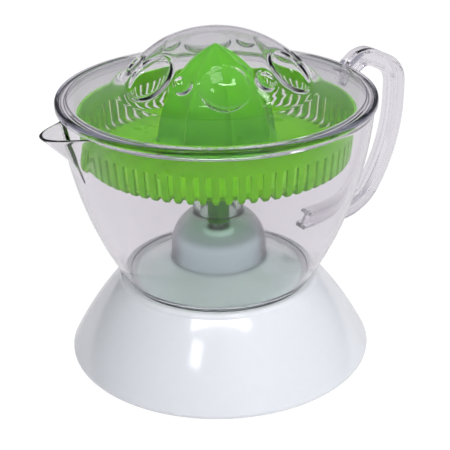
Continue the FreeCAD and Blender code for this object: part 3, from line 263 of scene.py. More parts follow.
def turned(name, points, steps):
    """Piece turned on the drive axis from its profile."""
    piece = drawn(name, points)
    swept(piece, steps)
    bpy.ops.mesh.remove_doubles(threshold=MERGE_DISTANCE)
    bpy.ops.mesh.delete_loose(use_verts=True, use_edges=True, use_faces=False)
    faced_outwards()
    return piece


def carved(piece, tool, operation):
    """Boolean of the piece with a tool, which is used up."""
    only(piece)
    bpy.ops.object.modifier_add(type="BOOLEAN")
    modifier = piece.modifiers[-1]
    modifier.operation = operation
    modifier.solver = "MANIFOLD"
    modifier.object = tool
    bpy.ops.object.modifier_apply(modifier=modifier.name)
    bpy.data.objects.remove(tool)


def smooth(piece, degrees=32.0):
    """Shade a piece smooth, but for edges sharper than an angle."""
    only(piece)
    bpy.ops.object.shade_smooth_by_angle(angle=math.radians(degrees))


def finished(piece, body, material, slot, *nodes):
    """Give a piece its finish and its body, and hide the CAD nodes that it stands for."""
    piece.data.materials.clear()
    piece.data.materials.append(material)
    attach(piece, body)
    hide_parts(*nodes)


# Finishes

# Share of the noise over which a finish drifts, the noise's detail and the strength of its bump
DRIFT_START = 0.3
DRIFT_END = 0.7
GRAIN_DETAIL = 3.0
GRAIN_STRENGTH = 0.3

# Where a finish changes: pairs of radii and of heights over which the change fades in, in millimetres
COLUMN_RADII = (28.5, 27.9)
# Frost and painted shade: heights of the column's frosting and of its grey tint, which stands in for the
# shaded white boss seen through it
FROST_AND_SHADE_HEIGHTS = (91.0, 89.0)
# Painted green reflection: heights from which the tube and the top of the column are tinted green
GREEN_REFLECTION_HEIGHTS = (77.0, 85.0)
HANDLE_FOOT_RADII = (65.5, 67.5)
HANDLE_FOOT_HEIGHTS = (75.0, 72.0)
# Painted dark reflection on the edge of the cover's rim
RIM_DARK_REFLECTION_RADII = (85.8, 86.4)
RIM_DARK_REFLECTION_HEIGHTS = (154.8, 155.4)
# Painted green light: where the deck under the jug is tinted mint, standing in for light that comes through
# the green strainer
GREEN_LIGHT_RADII = (49.0, 48.4)
GREEN_LIGHT_HEIGHTS = (78.0, 77.4)

# Roughness of the frosted column and of the handle's satin foot
FROSTED = 0.24
SATIN = 0.3


def finish(name, colour, drift, roughness, grain, depth, constants):
    """Principled finish whose colour, gloss and surface drift with noise on the piece's own coordinates."""
    material = bpy.data.materials.new(name)
    material.use_nodes = True
    nodes = material.node_tree.nodes
    links = material.node_tree.links
    shader = nodes["Principled BSDF"]
    for socket, value in constants.items():
        shader.inputs[socket].default_value = value
    place = nodes.new("ShaderNodeTexCoord")
    noise = nodes.new("ShaderNodeTexNoise")
    noise.inputs["Scale"].default_value = grain
    noise.inputs["Detail"].default_value = GRAIN_DETAIL
    links.new(place.outputs["Object"], noise.inputs["Vector"])
    tone = nodes.new("ShaderNodeValToRGB")
    tone.color_ramp.elements[0].position = DRIFT_START
    tone.color_ramp.elements[0].color = (*[channel * (1 - drift) for channel in colour], 1)
    tone.color_ramp.elements[1].position = DRIFT_END
    tone.color_ramp.elements[1].color = (*colour, 1)
    links.new(noise.outputs["Fac"], tone.inputs["Fac"])
    links.new(tone.outputs["Color"], shader.inputs["Base Color"])
    gloss = nodes.new("ShaderNodeMapRange")
    gloss.inputs["From Min"].default_value = DRIFT_START
    gloss.inputs["From Max"].default_value = DRIFT_END
    gloss.inputs["To Min"].default_value = roughness[0]
    gloss.inputs["To Max"].default_value = roughness[1]
    links.new(noise.outputs["Fac"], gloss.inputs["Value"])
    links.new(gloss.outputs["Result"], shader.inputs["Roughness"])
    bump = nodes.new("ShaderNodeBump")
    bump.inputs["Strength"].default_value = GRAIN_STRENGTH
    bump.inputs["Distance"].default_value = depth
    links.new(noise.outputs["Fac"], bump.inputs["Height"])
    links.new(bump.outputs["Normal"], shader.inputs["Normal"])
    return material


def zone(material, radii, heights):
    """Number that runs from 0 to 1 across a pair of radii and a pair of heights, given in millimetres."""
    nodes = material.node_tree.nodes
    links = material.node_tree.links
    place = nodes.new("ShaderNodeTexCoord")
    flat = nodes.new("ShaderNodeVectorMath")
    flat.operation = "MULTIPLY"
    flat.inputs[1].default_value = (1, 1, 0)
    away = nodes.new("ShaderNodeVectorMath")
    away.operation = "LENGTH"
    parts = nodes.new("ShaderNodeSeparateXYZ")
    both = nodes.new("ShaderNodeMath")
    both.operation = "MULTIPLY"
    links.new(place.outputs["Object"], flat.inputs[0])
    links.new(flat.outputs[0], away.inputs[0])
    links.new(place.outputs["Object"], parts.inputs[0])
    rows = ((away.outputs["Value"], radii), (parts.outputs["Z"], heights))
    for k, (measure, ends) in enumerate(rows):
        step = nodes.new("ShaderNodeMapRange")
        step.inputs["From Min"].default_value = ends[0] * MM
        step.inputs["From Max"].default_value = ends[1] * MM
        links.new(measure, step.inputs["Value"])
        links.new(step.outputs["Result"], both.inputs[k])
    return both.outputs[0]


def laid_over(material, name, share, kind, value):
    """Mix a value over what feeds one of the shader's sockets, by a share."""
    links = material.node_tree.links
    socket = material.node_tree.nodes["Principled BSDF"].inputs[name]
    mix = material.node_tree.nodes.new("ShaderNodeMix")
    mix.data_type = kind
    mix.inputs["B"].default_value = value
    links.new(share, mix.inputs["Factor"])
    links.new(socket.links[0].from_socket, mix.inputs["A"])
    links.new(mix.outputs["Result"], socket)


def tinted(material, share, colour):
    """Lay a colour over a finish, by a share."""
    laid_over(material, "Base Color", share, "RGBA", (*colour, 1))


def clear_plastic(name, colours):
    """Clear moulding with a faint tint."""
    return finish(name, colours.clear, 0.02, (0.02, 0.05), 40.0, 0.00004,
                  {"Transmission Weight": 1.0, "IOR": 1.42})


def jug_plastic(colours):
    """Clear moulding: frosted and greyer on the column, the grey being painted shade, greener up the tube as
    a painted green reflection, satin on the handle's foot.
    """
    material = clear_plastic("jug_plastic", colours)
    column = zone(material, COLUMN_RADII, FROST_AND_SHADE_HEIGHTS)
    # Painted shade: the column's grey tint stands in for the shaded white boss seen through the clear wall
    tinted(material, column, colours.column)
    # Painted green reflection of the green parts inside, on the tube and the top of the column
    tinted(material, zone(material, COLUMN_RADII, GREEN_REFLECTION_HEIGHTS), colours.tube)
    laid_over(material, "Roughness", column, "FLOAT", FROSTED)
    laid_over(material, "Roughness", zone(material, HANDLE_FOOT_RADII, HANDLE_FOOT_HEIGHTS), "FLOAT", SATIN)
    return material


def cover_plastic(colours):
    """Clear moulding, with a painted dark reflection on the edge of the rim, where the wall is seen end on.
    """
    material = clear_plastic("cover_plastic", colours)
    # Painted dark reflection: the rim's edge is tinted dark navy
    tinted(material, zone(material, RIM_DARK_REFLECTION_RADII, RIM_DARK_REFLECTION_HEIGHTS), colours.edge)
    return material


def green_plastic(name, colour):
    """Green moulding that lets light seep through, with a soft gloss."""
    return finish(name, colour, 0.04, (0.26, 0.34), 60.0, 0.00003,
                  {"Subsurface Weight": 0.5, "Subsurface Radius": (1.0, 1.0, 0.4), "Subsurface Scale": 0.003,
                   "Specular IOR Level": 0.2})


def white_plastic(colours):
    """Gloss white moulding, with a painted mint cast on the deck that the jug covers, standing in for green
    light that comes through the strainer.
    """
    material = finish("white_plastic", colours.base, 0.015, (0.1, 0.16), 220.0, 0.00002,
                      {"IOR": 1.5, "Coat Weight": 0.4, "Coat Roughness": 0.04})
    # Painted green light: the mint tint laid over the white on the deck under the jug
    tinted(material, zone(material, GREEN_LIGHT_RADII, GREEN_LIGHT_HEIGHTS), colours.deck)
    return material


# Finishes of the works inside: colour, drift, roughness, grain, depth, constant sockets
WORKS = {
    "clear_plastic": ((0.8, 0.79, 0.82), 0.02, (0.02, 0.05), 40.0, 0.00004, {"Transmission Weight": 1.0}),
    "green_plastic": ((0.13, 0.4, 0.03), 0.12, (0.22, 0.32), 60.0, 0.00005, {"Transmission Weight": 0.45}),
    "dark_green_plastic": ((0.03, 0.13, 0.03), 0.15, (0.25, 0.4), 90.0, 0.00005, {"IOR": 1.49}),
    "white_plastic": ((0.8, 0.82, 0.86), 0.03, (0.25, 0.4), 220.0, 0.00003, {"IOR": 1.5}),
    "black_rubber": ((0.018, 0.018, 0.02), 0.3, (0.65, 0.85), 700.0, 0.00012, {"IOR": 1.52}),
    "steel": ((0.56, 0.57, 0.58), 0.12, (0.22, 0.4), 900.0, 0.00002, {"Metallic": 1.0}),
    "bronze": ((0.5, 0.29, 0.12), 0.25, (0.3, 0.5), 600.0, 0.00004, {"Metallic": 1.0}),
    "cream_plastic": ((0.72, 0.66, 0.5), 0.06, (0.35, 0.5), 200.0, 0.00003, {"IOR": 1.53}),
    "copper": ((0.62, 0.23, 0.08), 0.2, (0.2, 0.35), 500.0, 0.00006, {"Metallic": 1.0}),
    "ferrite": ((0.06, 0.06, 0.065), 0.25, (0.5, 0.7), 800.0, 0.00006, {"IOR": 1.6}),
}


# What a user would change

class JuicerSizes(bpy.types.PropertyGroup):
    """Sizes of the visible pieces."""

    base_radius: FloatProperty(name="Base radius", description="Radius of the base at its widest",
                               default=0.087, unit="LENGTH")
    deck_radius: FloatProperty(name="Deck radius", description="Radius of the base's flat top",
                               default=0.058, unit="LENGTH")
    lip_reach: FloatProperty(name="Lip reach", description="How far the pouring lip stands out from the rim",
                             default=0.0191, unit="LENGTH")
    lip_round: FloatProperty(name="Lip rounding", description="Rounding of the pouring lip's nose",
                             default=0.00725, unit="LENGTH")
    handle_width: FloatProperty(name="Handle width", description="Width of the bar handle",
                                default=0.0108, unit="LENGTH")
    handle_depth: FloatProperty(name="Handle depth", description="Thickness of the bar handle",
                                default=0.0102, unit="LENGTH")
    slot_count: IntProperty(name="Slots", description="Slots round the strainer", default=72)
    slot_width: FloatProperty(name="Slot width", description="Width of a strainer slot",
                              default=0.0027, unit="LENGTH")
    cone_radius: FloatProperty(name="Cone radius", description="Radius of the reaming cone",
                               default=0.0335, unit="LENGTH")
    cone_height: FloatProperty(name="Cone height", description="Height of the reaming cone",
                               default=0.057, unit="LENGTH")
    ridge_count: IntProperty(name="Ridges", description="Ridges on the cone", default=8)
    dome_radius: FloatProperty(name="Dome radius", description="Radius of the cover's ball-shaped dome",
                               default=0.066, unit="LENGTH")
    dimple_count: IntProperty(name="Dimples", description="Large dimples round the dome", default=6)
    dimple_round: FloatProperty(name="Dimple rounding", description="Ball radius of a large dimple",
                                default=0.018, unit="LENGTH")
    dimple_depth: FloatProperty(name="Dimple depth", description="Depth of a large dimple",
                                default=0.007, unit="LENGTH")


class JuicerColours(bpy.types.PropertyGroup):
    """Colours of the visible pieces."""

    clear: FloatVectorProperty(name="Clear plastic", description="Tint of the jug and the cover",
                               subtype="COLOR", default=(0.915, 0.9, 0.92))
    # Painted shade: the column's grey stands in for the shaded white boss seen through it, not a colour of
    # the clear plastic
    column: FloatVectorProperty(name="Column", description="Tint of the jug's frosted column",
                                subtype="COLOR", default=(0.72, 0.72, 0.76))
    # Painted green reflection: the tube's green stands in for the green parts seen in it, not a colour of the
    # clear plastic
    tube: FloatVectorProperty(name="Tube", description="Tint of the jug's tube and the top of its column",
                              subtype="COLOR", default=(0.68, 0.8, 0.68))
    # Painted dark reflection: the edge's dark tint stands in for the dark room mirrored in the rim, not a
    # colour of the plastic
    edge: FloatVectorProperty(name="Clear edge", description="Tint of the cover's edge",
                              subtype="COLOR", default=(0.13, 0.14, 0.2))
    # Painted light and shade: cone and strainer are one green plastic, the strainer given a lit copy and the
    # cone a shaded copy
    cone: FloatVectorProperty(name="Cone", description="Colour of the reaming cone",
                              subtype="COLOR", default=(0.05, 0.235, 0.002))
    strainer: FloatVectorProperty(name="Strainer", description="Colour of the strainer",
                                  subtype="COLOR", default=(0.092, 0.3, 0.003))
    base: FloatVectorProperty(name="White plastic", description="Colour of the base",
                              subtype="COLOR", default=(0.8, 0.825, 0.88))
    # Painted green light: the deck's mint stands in for light that comes through the green strainer, not a
    # colour of the white plastic
    deck: FloatVectorProperty(name="Deck", description="Colour of the base's deck under the jug",
                              subtype="COLOR", default=(0.75, 0.93, 0.87))
    floor: FloatVectorProperty(name="Floor", description="Colour of the floor",
                               subtype="COLOR", default=(0.9, 0.9, 0.9))


# Base

def base_profile(sizes):
    """Closed outline of the bell-shaped shell with its boss and seal collar."""
    radius = sizes.base_radius / MM
    deck = sizes.deck_radius / MM
    foot_z = 2.0
    foot_round = 3.0
    foot_middle = 0.88
    deck_round = 2.5
    deck_middle = 0.73
    bulge = 1.7
    inner_z = DECK_Z - 2.5
    boss_bore = 4.2
    seal_outer = 8.42
    seal_inner = 6.42
    seal_z = BOSS_TOP_Z + 3.0
    low = (radius, foot_z + foot_round)
    high = (deck, DECK_Z - deck_round)
    length = math.dist(low, high)
    across = ((high[1] - low[1]) / length, (low[0] - high[0]) / length)
    middle = ((low[0] + high[0]) / 2 + bulge * across[0], (low[1] + high[1]) / 2 + bulge * across[1])
    points = [(radius - foot_round, foot_z)]
    points += arc(points[-1], (radius - foot_middle, foot_z + foot_middle), low, 8)
    points += arc(low, middle, high, 40)
    points += arc(high, (deck - deck_middle, DECK_Z - deck_middle), (deck - deck_round, DECK_Z), 8)
    points += softened([
        (DECK_INNER_RADIUS, DECK_Z, 6.0), (24.4, 59.2, 1.5), (BOSS_RADIUS, BOSS_TOP_Z, 4.0),
        (seal_outer, BOSS_TOP_Z, 0.6), (seal_outer, seal_z, 0.5), (seal_inner, seal_z, 0.3),
        (seal_inner, BOSS_TOP_Z, 0), (boss_bore, BOSS_TOP_Z, 0), (boss_bore, BOSS_TOP_Z - 2.5, 0),
        (21.1, BOSS_TOP_Z - 2.5, 0), (21.1, 58.0, 0), (45.0, inner_z, 0), (deck - 5.0, inner_z, 0),
        (radius - 4.5, 7.0, 0), (radius - foot_round, foot_z + foot_round, 0),
    ])
    return points


class JUICER_OT_base(bpy.types.Operator):
    """Flared white gloss base with its deck and boss"""

    bl_idname = "juicer.base"
    bl_label = "Base"

    def execute(self, context):
        scene = context.scene
        base = turned("base_shell", base_profile(scene.juicer_sizes), 192)
        smooth(base)
        finished(base, "base", white_plastic(scene.juicer_colours), "white_plastic", "base_housing")
        return {"FINISHED"}


# Jug

def jug_profile():
    """Closed outline of the jug's wall: side, rim, floor, column and tube."""
    column = 27.3
    inner_column = column - JUG_WALL
    tube = 12.9
    tube_inner = tube - JUG_WALL
    tube_foot = 14.6
    turn = 24.0
    top_z = 66.0
    rim_low = RIM_Z - 0.9
    middle_z = (DECK_Z + RIM_Z) / 2
    inner_low_z = 54.0
    inner_middle_z = 100.0
    under_z = DECK_Z + FLOOR_CLEARANCE

    def dome(radius, inset):
        return top_z + math.sqrt((turn - inset) ** 2 - (radius - column + turn) ** 2)

    low = (JUG_FOOT_RADIUS, DECK_Z)
    points = [low]
    points += arc(low, (side_radius(middle_z, 0), middle_z), (side_radius(rim_low, 0), rim_low), 56)
    inner_top = (side_radius(rim_low, JUG_WALL), rim_low)
    points += arc(points[-1], (side_radius(RIM_Z, JUG_WALL / 2), RIM_Z), inner_top, 8)
    inner_middle = (side_radius(inner_middle_z, JUG_WALL), inner_middle_z)
    inner_low = (side_radius(inner_low_z, JUG_WALL), inner_low_z)
    points += arc(inner_top, inner_middle, inner_low, 52)
    points += softened([
        (*inner_low, 0), (51.4, DECK_Z + FLOOR_WALL, 1.2), (DECK_INNER_RADIUS, under_z + FLOOR_WALL, 4.0),
        (column, floor_under(column) + FLOOR_WALL, 2.0), (column, top_z, 0),
    ], 6)[1:]
    shoulder = (tube_foot + 1.5, dome(tube_foot + 1.5, 0))
    tube_low = (tube_foot, shoulder[1] + 2.4)
    points += arc((column, top_z), (20.0, dome(20.0, 0)), shoulder, 16)
    points += arc(shoulder, (tube_foot + 0.45, shoulder[1] + 0.9), tube_low, 5)
    points += softened([
        (*tube_low, 0), (tube, TUBE_TOP_Z - 9.0, 2.0), (tube, TUBE_TOP_Z, 0.6), (tube_inner, TUBE_TOP_Z, 0.6),
        (tube_inner, dome(tube_inner, JUG_WALL), 0),
    ])[1:]
    points += arc(points[-1], (18.0, dome(18.0, JUG_WALL)), (inner_column, top_z), 16)
    points += softened([
        (inner_column, top_z, 0), (inner_column, floor_under(inner_column), 0.6),
        (DECK_INNER_RADIUS, under_z, 6.0), (JUG_FOOT_RADIUS - 1.5, under_z, 0),
        (JUG_FOOT_RADIUS - 0.8, DECK_Z, 0), (*low, 0),
    ])[1:-1]
    return points


def lip_radius(angle, height, inset, sizes):
    """Radius of the pouring lip's shell at an angle from its nose, or 0 below its foot."""
    foot = side_radius(RIM_Z - LIP_DEPTH, 0) - 2 * JUG_WALL
    share = 1 - (RIM_Z - height) / LIP_DEPTH
    if share <= 0.02:
        return 0.0
    nose = side_radius(RIM_Z, 0) + sizes.lip_reach / MM - inset
    width = 2 * (sizes.lip_round / MM - inset / 2)
    reach = foot + share * (nose - foot)
    bend = math.sin(angle) ** 2 / (width * share)
    if bend < 1e-9:
        return reach
    return (math.sqrt(math.cos(angle) ** 2 + 4 * bend * reach) - math.cos(angle)) / (2 * bend)


def blended(a, b, size):
    """The larger of two lengths, with the change-over rounded."""
    near = max(size - abs(a - b), 0.0)
    return max(a, b) + near ** 2 / (4 * size)


def pull_lip(jug, sizes):
    """Crowd the jug's mesh towards the lip, then draw its wall out into the pouring lip."""
    crowd = 0.55
    half_angle = 0.4
    wall_from = 70.0
    for vertex in jug.data.vertices:
        x, y, z = (c / MM for c in vertex.co)
        radius = math.hypot(x, y)
        angle = math.atan2(y, -x)
        angle -= crowd * math.sin(angle)
        if radius > wall_from and z > RIM_Z - LIP_DEPTH and abs(angle) < half_angle:
            height = min(z, RIM_Z)
            outer = side_radius(height, 0)
            share = (outer - radius) / JUG_WALL
            outside = blended(outer, lip_radius(angle, height, 0, sizes), LIP_BLEND)
            inside = blended(side_radius(height, JUG_WALL), lip_radius(angle, height, JUG_WALL, sizes),
                             LIP_BLEND + 2 * JUG_WALL)
            radius = outside + (inside - outside) * share
        vertex.co = Vector((-radius * math.cos(angle), radius * math.sin(angle), z)) * MM


def filled_side(inset):
    """Solid that fills the jug's side, moved in by inset."""
    low = (side_radius(DECK_Z, inset), DECK_Z)
    high = (side_radius(RIM_Z, inset), RIM_Z)
    middle_z = (DECK_Z + RIM_Z) / 2
    points = [(0.0, DECK_Z), low]
    points += arc(low, (side_radius(middle_z, inset), middle_z), high, 40)
    points.append((0.0, RIM_Z))
    return turned("side_filling", points, 96)


# Corners of the handle's centre line (distance from the axis, height) and the rounding at each
HANDLE_CORNERS = (
    ((83.0, 148.4), 0.0),
    ((100.4, 161.6), 12.0),
    ((125.3, 148.9), 15.0),
    ((125.3, 104.6), 98.0),
    ((101.6, 64.6), 29.0),
    ((56.8, 64.6), 0.0),
)

# Rounding of the handle's section and of the recesses along its sides, in metres
HANDLE_ROUND = 0.0022
RECESS_ROUND = 0.0012


def swept_bar(name, width, depth, shift, rounding):
    """Bar along the handle's line: a rounded section extruded along each run and spun round each bend."""
    corners = [Vector((x, 0, z)) * MM for (x, z), _ in HANDLE_CORNERS]
    rounds = [size * MM for _, size in HANDLE_CORNERS]
    along = (corners[1] - corners[0]).normalized()
    deselect()
    bpy.ops.mesh.primitive_plane_add(size=1.0)
    bar = bpy.context.object
    bar.name = name
    across = Vector((0, 1, 0))
    deep = across.cross(along)
    turn = Matrix((across * width, deep * depth, along)).transposed()
    bar.data.transform(Matrix.Translation(corners[0] + across * shift) @ turn.to_4x4())
    bpy.ops.object.mode_set(mode="EDIT")
    bpy.ops.mesh.select_all(action="SELECT")
    bpy.ops.mesh.bevel(affect="VERTICES", offset=rounding, segments=6)
    bpy.ops.mesh.select_all(action="SELECT")
    here = corners[0]
    for k in range(1, len(corners) - 1):
        before = (corners[k] - corners[k - 1]).normalized()
        after = (corners[k + 1] - corners[k]).normalized()
        bend = before.angle(after)
        start = corners[k] - before * rounds[k] * math.tan(bend / 2)
        bpy.ops.mesh.extrude_region_move(TRANSFORM_OT_translate={"value": start - here})
        axis = before.cross(after).normalized()
        centre = start + axis.cross(before) * rounds[k]
        steps = max(6, int(math.degrees(bend) / 4))
        bpy.ops.mesh.spin(steps=steps, angle=-bend, center=centre, axis=axis, use_auto_merge=False)
        here = corners[k] + after * rounds[k] * math.tan(bend / 2)
    bpy.ops.mesh.extrude_region_move(TRANSFORM_OT_translate={"value": corners[-1] - here})
    bpy.ops.mesh.select_all(action="SELECT")
    bpy.ops.mesh.remove_doubles(threshold=MERGE_DISTANCE)
    faced_outwards()
    return bar


def handle_bar(sizes):
    """Bar handle with a recess along each side, which leaves two flanges and a web."""
    width = sizes.handle_width
    bar = swept_bar("handle_bar", width, sizes.handle_depth, 0.0, HANDLE_ROUND)
    recess = sizes.handle_depth - 2 * JUG_WALL * MM
    for side in (1, -1):
        shift = side * (JUG_WALL * MM + width) / 2
        carved(bar, swept_bar("handle_recess", width, recess, shift, RECESS_ROUND), "DIFFERENCE")
    return bar


def cover_room():
    """Solid that keeps the room of the cover's rim free over the jug."""
    radius = LID_RADIUS + 0.6
    top_z = 175.0
    return turned("cover_room", [(0, RIM_Z), (radius, RIM_Z), (radius, top_z), (0, top_z)], 96)


class JUICER_OT_jug(bpy.types.Operator):
    """Clear jug with its pouring lip, column, tube and bar handle"""

    bl_idname = "juicer.jug"
    bl_label = "Jug"

    def execute(self, context):
        scene = context.scene
        sizes = scene.juicer_sizes
        jug = turned("juice_jug_shell", jug_profile(), 320)
        pull_lip(jug, sizes)
        bar = handle_bar(sizes)
        carved(bar, filled_side(JUG_WALL / 2), "DIFFERENCE")
        carved(bar, cover_room(), "DIFFERENCE")
        carved(jug, bar, "UNION")
        if max(vertex.co.x for vertex in jug.data.vertices) < HANDLE_CORNERS[2][0][0] * MM:
            raise RuntimeError("the handle was lost when it was joined to the jug")
        smooth(jug, 40.0)
        finished(jug, "jug", jug_plastic(scene.juicer_colours), "clear_plastic",
                 "juice_jug", "jug_core", "pouring_lip", "jug_handle")
        return {"FINISHED"}


# Strainer

def strainer_profile():
    """Closed outline of the basket: wall, floor and hub."""
    floor_z = STRAINER_Z + 2.0
    hub = 15.35
    hub_seat = 13.15
    hub_bore = 9.35
    hub_z = TUBE_TOP_Z + 2.0
    return softened([
        (76.5, STRAINER_TOP_Z, 0.7), (74.7, STRAINER_TOP_Z, 0.7), (72.4, floor_z, 2.2), (hub, floor_z, 1.0),
        (hub, hub_z, 0.6), (hub_bore, hub_z, 0.3), (hub_bore, TUBE_TOP_Z, 0.2), (hub_seat, TUBE_TOP_Z, 0.2),
        (hub_seat, STRAINER_Z, 0.4), (74.2, STRAINER_Z, 4.0),
    ], 6)


def slot_tool(sizes):
    """One slot's block, wider towards the foot so that the ribs end in lobes, copied round the basket."""
    half = sizes.slot_width / MM / 2
    wide = half + 1.0
    top_z = STRAINER_TOP_Z - 9.0
    flare_z = STRAINER_Z + 3.6
    wide_z = STRAINER_Z - 0.2
    low_z = STRAINER_Z - 3.0
    inner = 66.2
    outer = 84.0
    side = [(half, top_z, 0.6), (half, flare_z, 5.0), (wide, wide_z, 1.5), (wide, low_z, 0)]
    other_side = [(-x, z, size) for x, z, size in reversed(side)]
    tool = drawn("slot_tool", softened(side + other_side))
    bpy.ops.mesh.edge_face_add()
    bpy.ops.mesh.extrude_region_move(TRANSFORM_OT_translate={"value": (0, MM, 0)})
    bpy.ops.object.mode_set(mode="OBJECT")
    for vertex in tool.data.vertices:
        reach = outer if vertex.co.y > MM / 2 else inner
        vertex.co = (reach * MM, vertex.co.x, vertex.co.z)
    bpy.ops.object.mode_set(mode="EDIT")
    bpy.ops.mesh.select_all(action="SELECT")
    bpy.ops.mesh.normals_make_consistent(inside=False)
    bpy.ops.mesh.spin(steps=sizes.slot_count, angle=math.tau, center=(0, 0, 0), axis=(0, 0, 1), dupli=True)
    bpy.ops.mesh.select_all(action="SELECT")
    bpy.ops.mesh.remove_doubles(threshold=MERGE_DISTANCE)
    bpy.ops.object.mode_set(mode="OBJECT")
    return tool


class JUICER_OT_strainer(bpy.types.Operator):
    """Slotted green basket with its hub"""

    bl_idname = "juicer.strainer"
    bl_label = "Strainer"

    def execute(self, context):
        scene = context.scene
        strainer = turned("strainer_shell", strainer_profile(), 288)
        carved(strainer, slot_tool(scene.juicer_sizes), "DIFFERENCE")
        smooth(strainer, 35.0)
        # Painted light: the strainer's lit copy of the one green plastic
        green = green_plastic("strainer_green_painted_lit", scene.juicer_colours.strainer)
        finished(strainer, "strainer", green, "green_plastic", "strainer_basket")
        return {"FINISHED"}


# Cone

# Depth of the hollows and height of the beads, as shares of the radius
RIDGE_HOLLOW = 0.13
RIDGE_BEAD = 0.02

# Height over which the ridges fade in, in millimetres
RIDGE_FADE = 5.0

# Width of a bead and turn of the whole cone, in degrees
BEAD_WIDTH = 2.4
CONE_TURN = 27.5


def ogive(height, base, total):
    """Radius of a pointed arch, upright at its base, at a height above it."""
    sweep = (base ** 2 + total ** 2) / (2 * base)
    return base - sweep + math.sqrt(sweep ** 2 - height ** 2)


def cone_profile(sizes):
    """Closed outline of the hollow cone before its ridges are drawn in."""
    radius = sizes.cone_radius / MM
    rise = sizes.cone_height / MM - CONE_SKIRT
    skirt_z = CONE_Z + CONE_SKIRT
    edge = 0.5
    wall = 2.4
    outer_steps = 40
    inner_steps = 20
    points = [(radius - edge, CONE_Z), (radius, CONE_Z + edge), (radius, skirt_z)]
    for k in range(1, outer_steps + 1):
        share = math.sin(k / outer_steps * math.pi / 2)
        points.append((max(ogive(rise * share, radius, rise), 0.0), skirt_z + rise * share))
    inner = radius * (1 - RIDGE_HOLLOW) - wall
    hollow = sizes.cone_height / MM * inner / radius
    points.append((0.0, CONE_Z + hollow))
    for k in range(1, inner_steps + 1):
        share = math.cos(k / inner_steps * math.pi / 2)
        points.append((ogive(hollow * share, inner, hollow), CONE_Z + hollow * share))
    return points


def draw_ridges(cone, sizes):
    """Press hollows between the ridges, raise a bead on each ridge, and turn the cone to its place."""
    radius = sizes.cone_radius / MM
    rise = sizes.cone_height / MM - CONE_SKIRT
    step = math.tau / sizes.ridge_count
    place = math.radians(CONE_TURN)
    for vertex in cone.data.vertices:
        x, y, z = (c / MM for c in vertex.co)
        angle = math.atan2(y, x)
        reach = math.hypot(x, y)
        height = z - CONE_Z - CONE_SKIRT
        if 0.01 < height < rise and reach > ogive(height, radius, rise) - 0.05:
            turn = (angle + step / 2) % step - step / 2
            across = abs(turn) / (step / 2)
            fade = min(1.0, height / RIDGE_FADE)
            hollow = RIDGE_HOLLOW * (1 - (1 - across) ** 2)
            bead = RIDGE_BEAD * math.exp(-(math.degrees(turn) / BEAD_WIDTH) ** 2)
            reach *= 1 - fade * (hollow - bead + RIDGE_BEAD)
        vertex.co = Vector((reach * math.cos(angle + place), reach * math.sin(angle + place), z)) * MM


def bar_on_axis(vertices, radius, length, middle_z, turn):
    """Straight bar on the drive axis, sizes in millimetres and turn in degrees."""
    deselect()
    bpy.ops.mesh.primitive_cylinder_add(vertices=vertices, radius=radius * MM, depth=length * MM,
                                        location=(0, 0, middle_z * MM), rotation=(0, 0, math.radians(turn)))
    bpy.ops.object.transform_apply(location=True, rotation=True, scale=True)
    return bpy.context.object


def stem_bar():
    """Six-sided drive stem with a socket in its end."""
    stem = bar_on_axis(6, STEM_ACROSS_FLATS / math.sqrt(3), STEM_LENGTH, STEM_LOW_Z + STEM_LENGTH / 2, 30.0)
    bpy.ops.object.mode_set(mode="EDIT")
    bpy.ops.mesh.select_all(action="SELECT")
    bpy.ops.mesh.bevel(affect="EDGES", offset=STEM_EDGE * MM, segments=2)
    bpy.ops.object.mode_set(mode="OBJECT")
    socket = bar_on_axis(48, SOCKET_RADIUS, 2 * SOCKET_DEPTH, STEM_LOW_Z, 0.0)
    carved(stem, socket, "DIFFERENCE")
    return stem


class JUICER_OT_cone(bpy.types.Operator):
    """Ridged green reaming cone on its drive stem"""

    bl_idname = "juicer.cone"
    bl_label = "Cone"

    def execute(self, context):
        scene = context.scene
        sizes = scene.juicer_sizes
        cone = turned("cone_shell", cone_profile(sizes), sizes.ridge_count * 36)
        draw_ridges(cone, sizes)
        carved(cone, stem_bar(), "UNION")
        smooth(cone, 28.0)
        # Painted shade: the cone's shaded copy of the one green plastic
        green = green_plastic("cone_green_painted_shade", scene.juicer_colours.cone)
        finished(cone, "cone", green, "green_plastic", "reamer_cone")
        return {"FINISHED"}


# Cover

def dome_points(size, foot, steps):
    """Arc of the dome from its top down to its foot."""
    end = math.asin(foot / size)
    return [(size * math.sin(end * k / steps), DOME_CENTRE_Z + size * math.cos(end * k / steps))
            for k in range(steps + 1)]


def shoulder_height(radius):
    """Height of the cover's sloping shoulder at a radius."""
    return LID_EDGE_Z + LID_SLOPE * (LID_RADIUS - radius)


def cover_profile(sizes):
    """Closed outline of the cover's wall: dome, rounded foot, shoulder, rim and the ring inside the jug."""
    size = sizes.dome_radius / MM
    ring = side_radius(RIM_Z, JUG_WALL) - 0.6
    ring_inner = ring - LID_WALL
    ring_z = RIM_Z - 2.8
    outer_dome = 51.2
    outer_bend = (54.0, 164.9)
    outer_foot = 58.6
    inner_dome = 50.2
    inner_bend = (53.2, 163.1)
    inner_foot = 58.2
    points = dome_points(size, outer_dome, 100)
    points += arc(points[-1], outer_bend, (outer_foot, shoulder_height(outer_foot)), 10)
    points += softened([
        (*points[-1], 0), (LID_RADIUS, LID_EDGE_Z, 1.6), (LID_RADIUS, RIM_Z, 0.5), (ring, RIM_Z, 0.2),
        (ring, ring_z, 0.4), (ring_inner, ring_z, 0.4),
        (ring_inner, shoulder_height(ring_inner) - LID_WALL, 1.0),
        (inner_foot, shoulder_height(inner_foot) - LID_WALL, 0),
    ], 5)[1:]
    inner = dome_points(size - LID_WALL, inner_dome, 80)
    points += arc(points[-1], inner_bend, inner[-1], 10)
    points += reversed(inner[:-1])
    return points


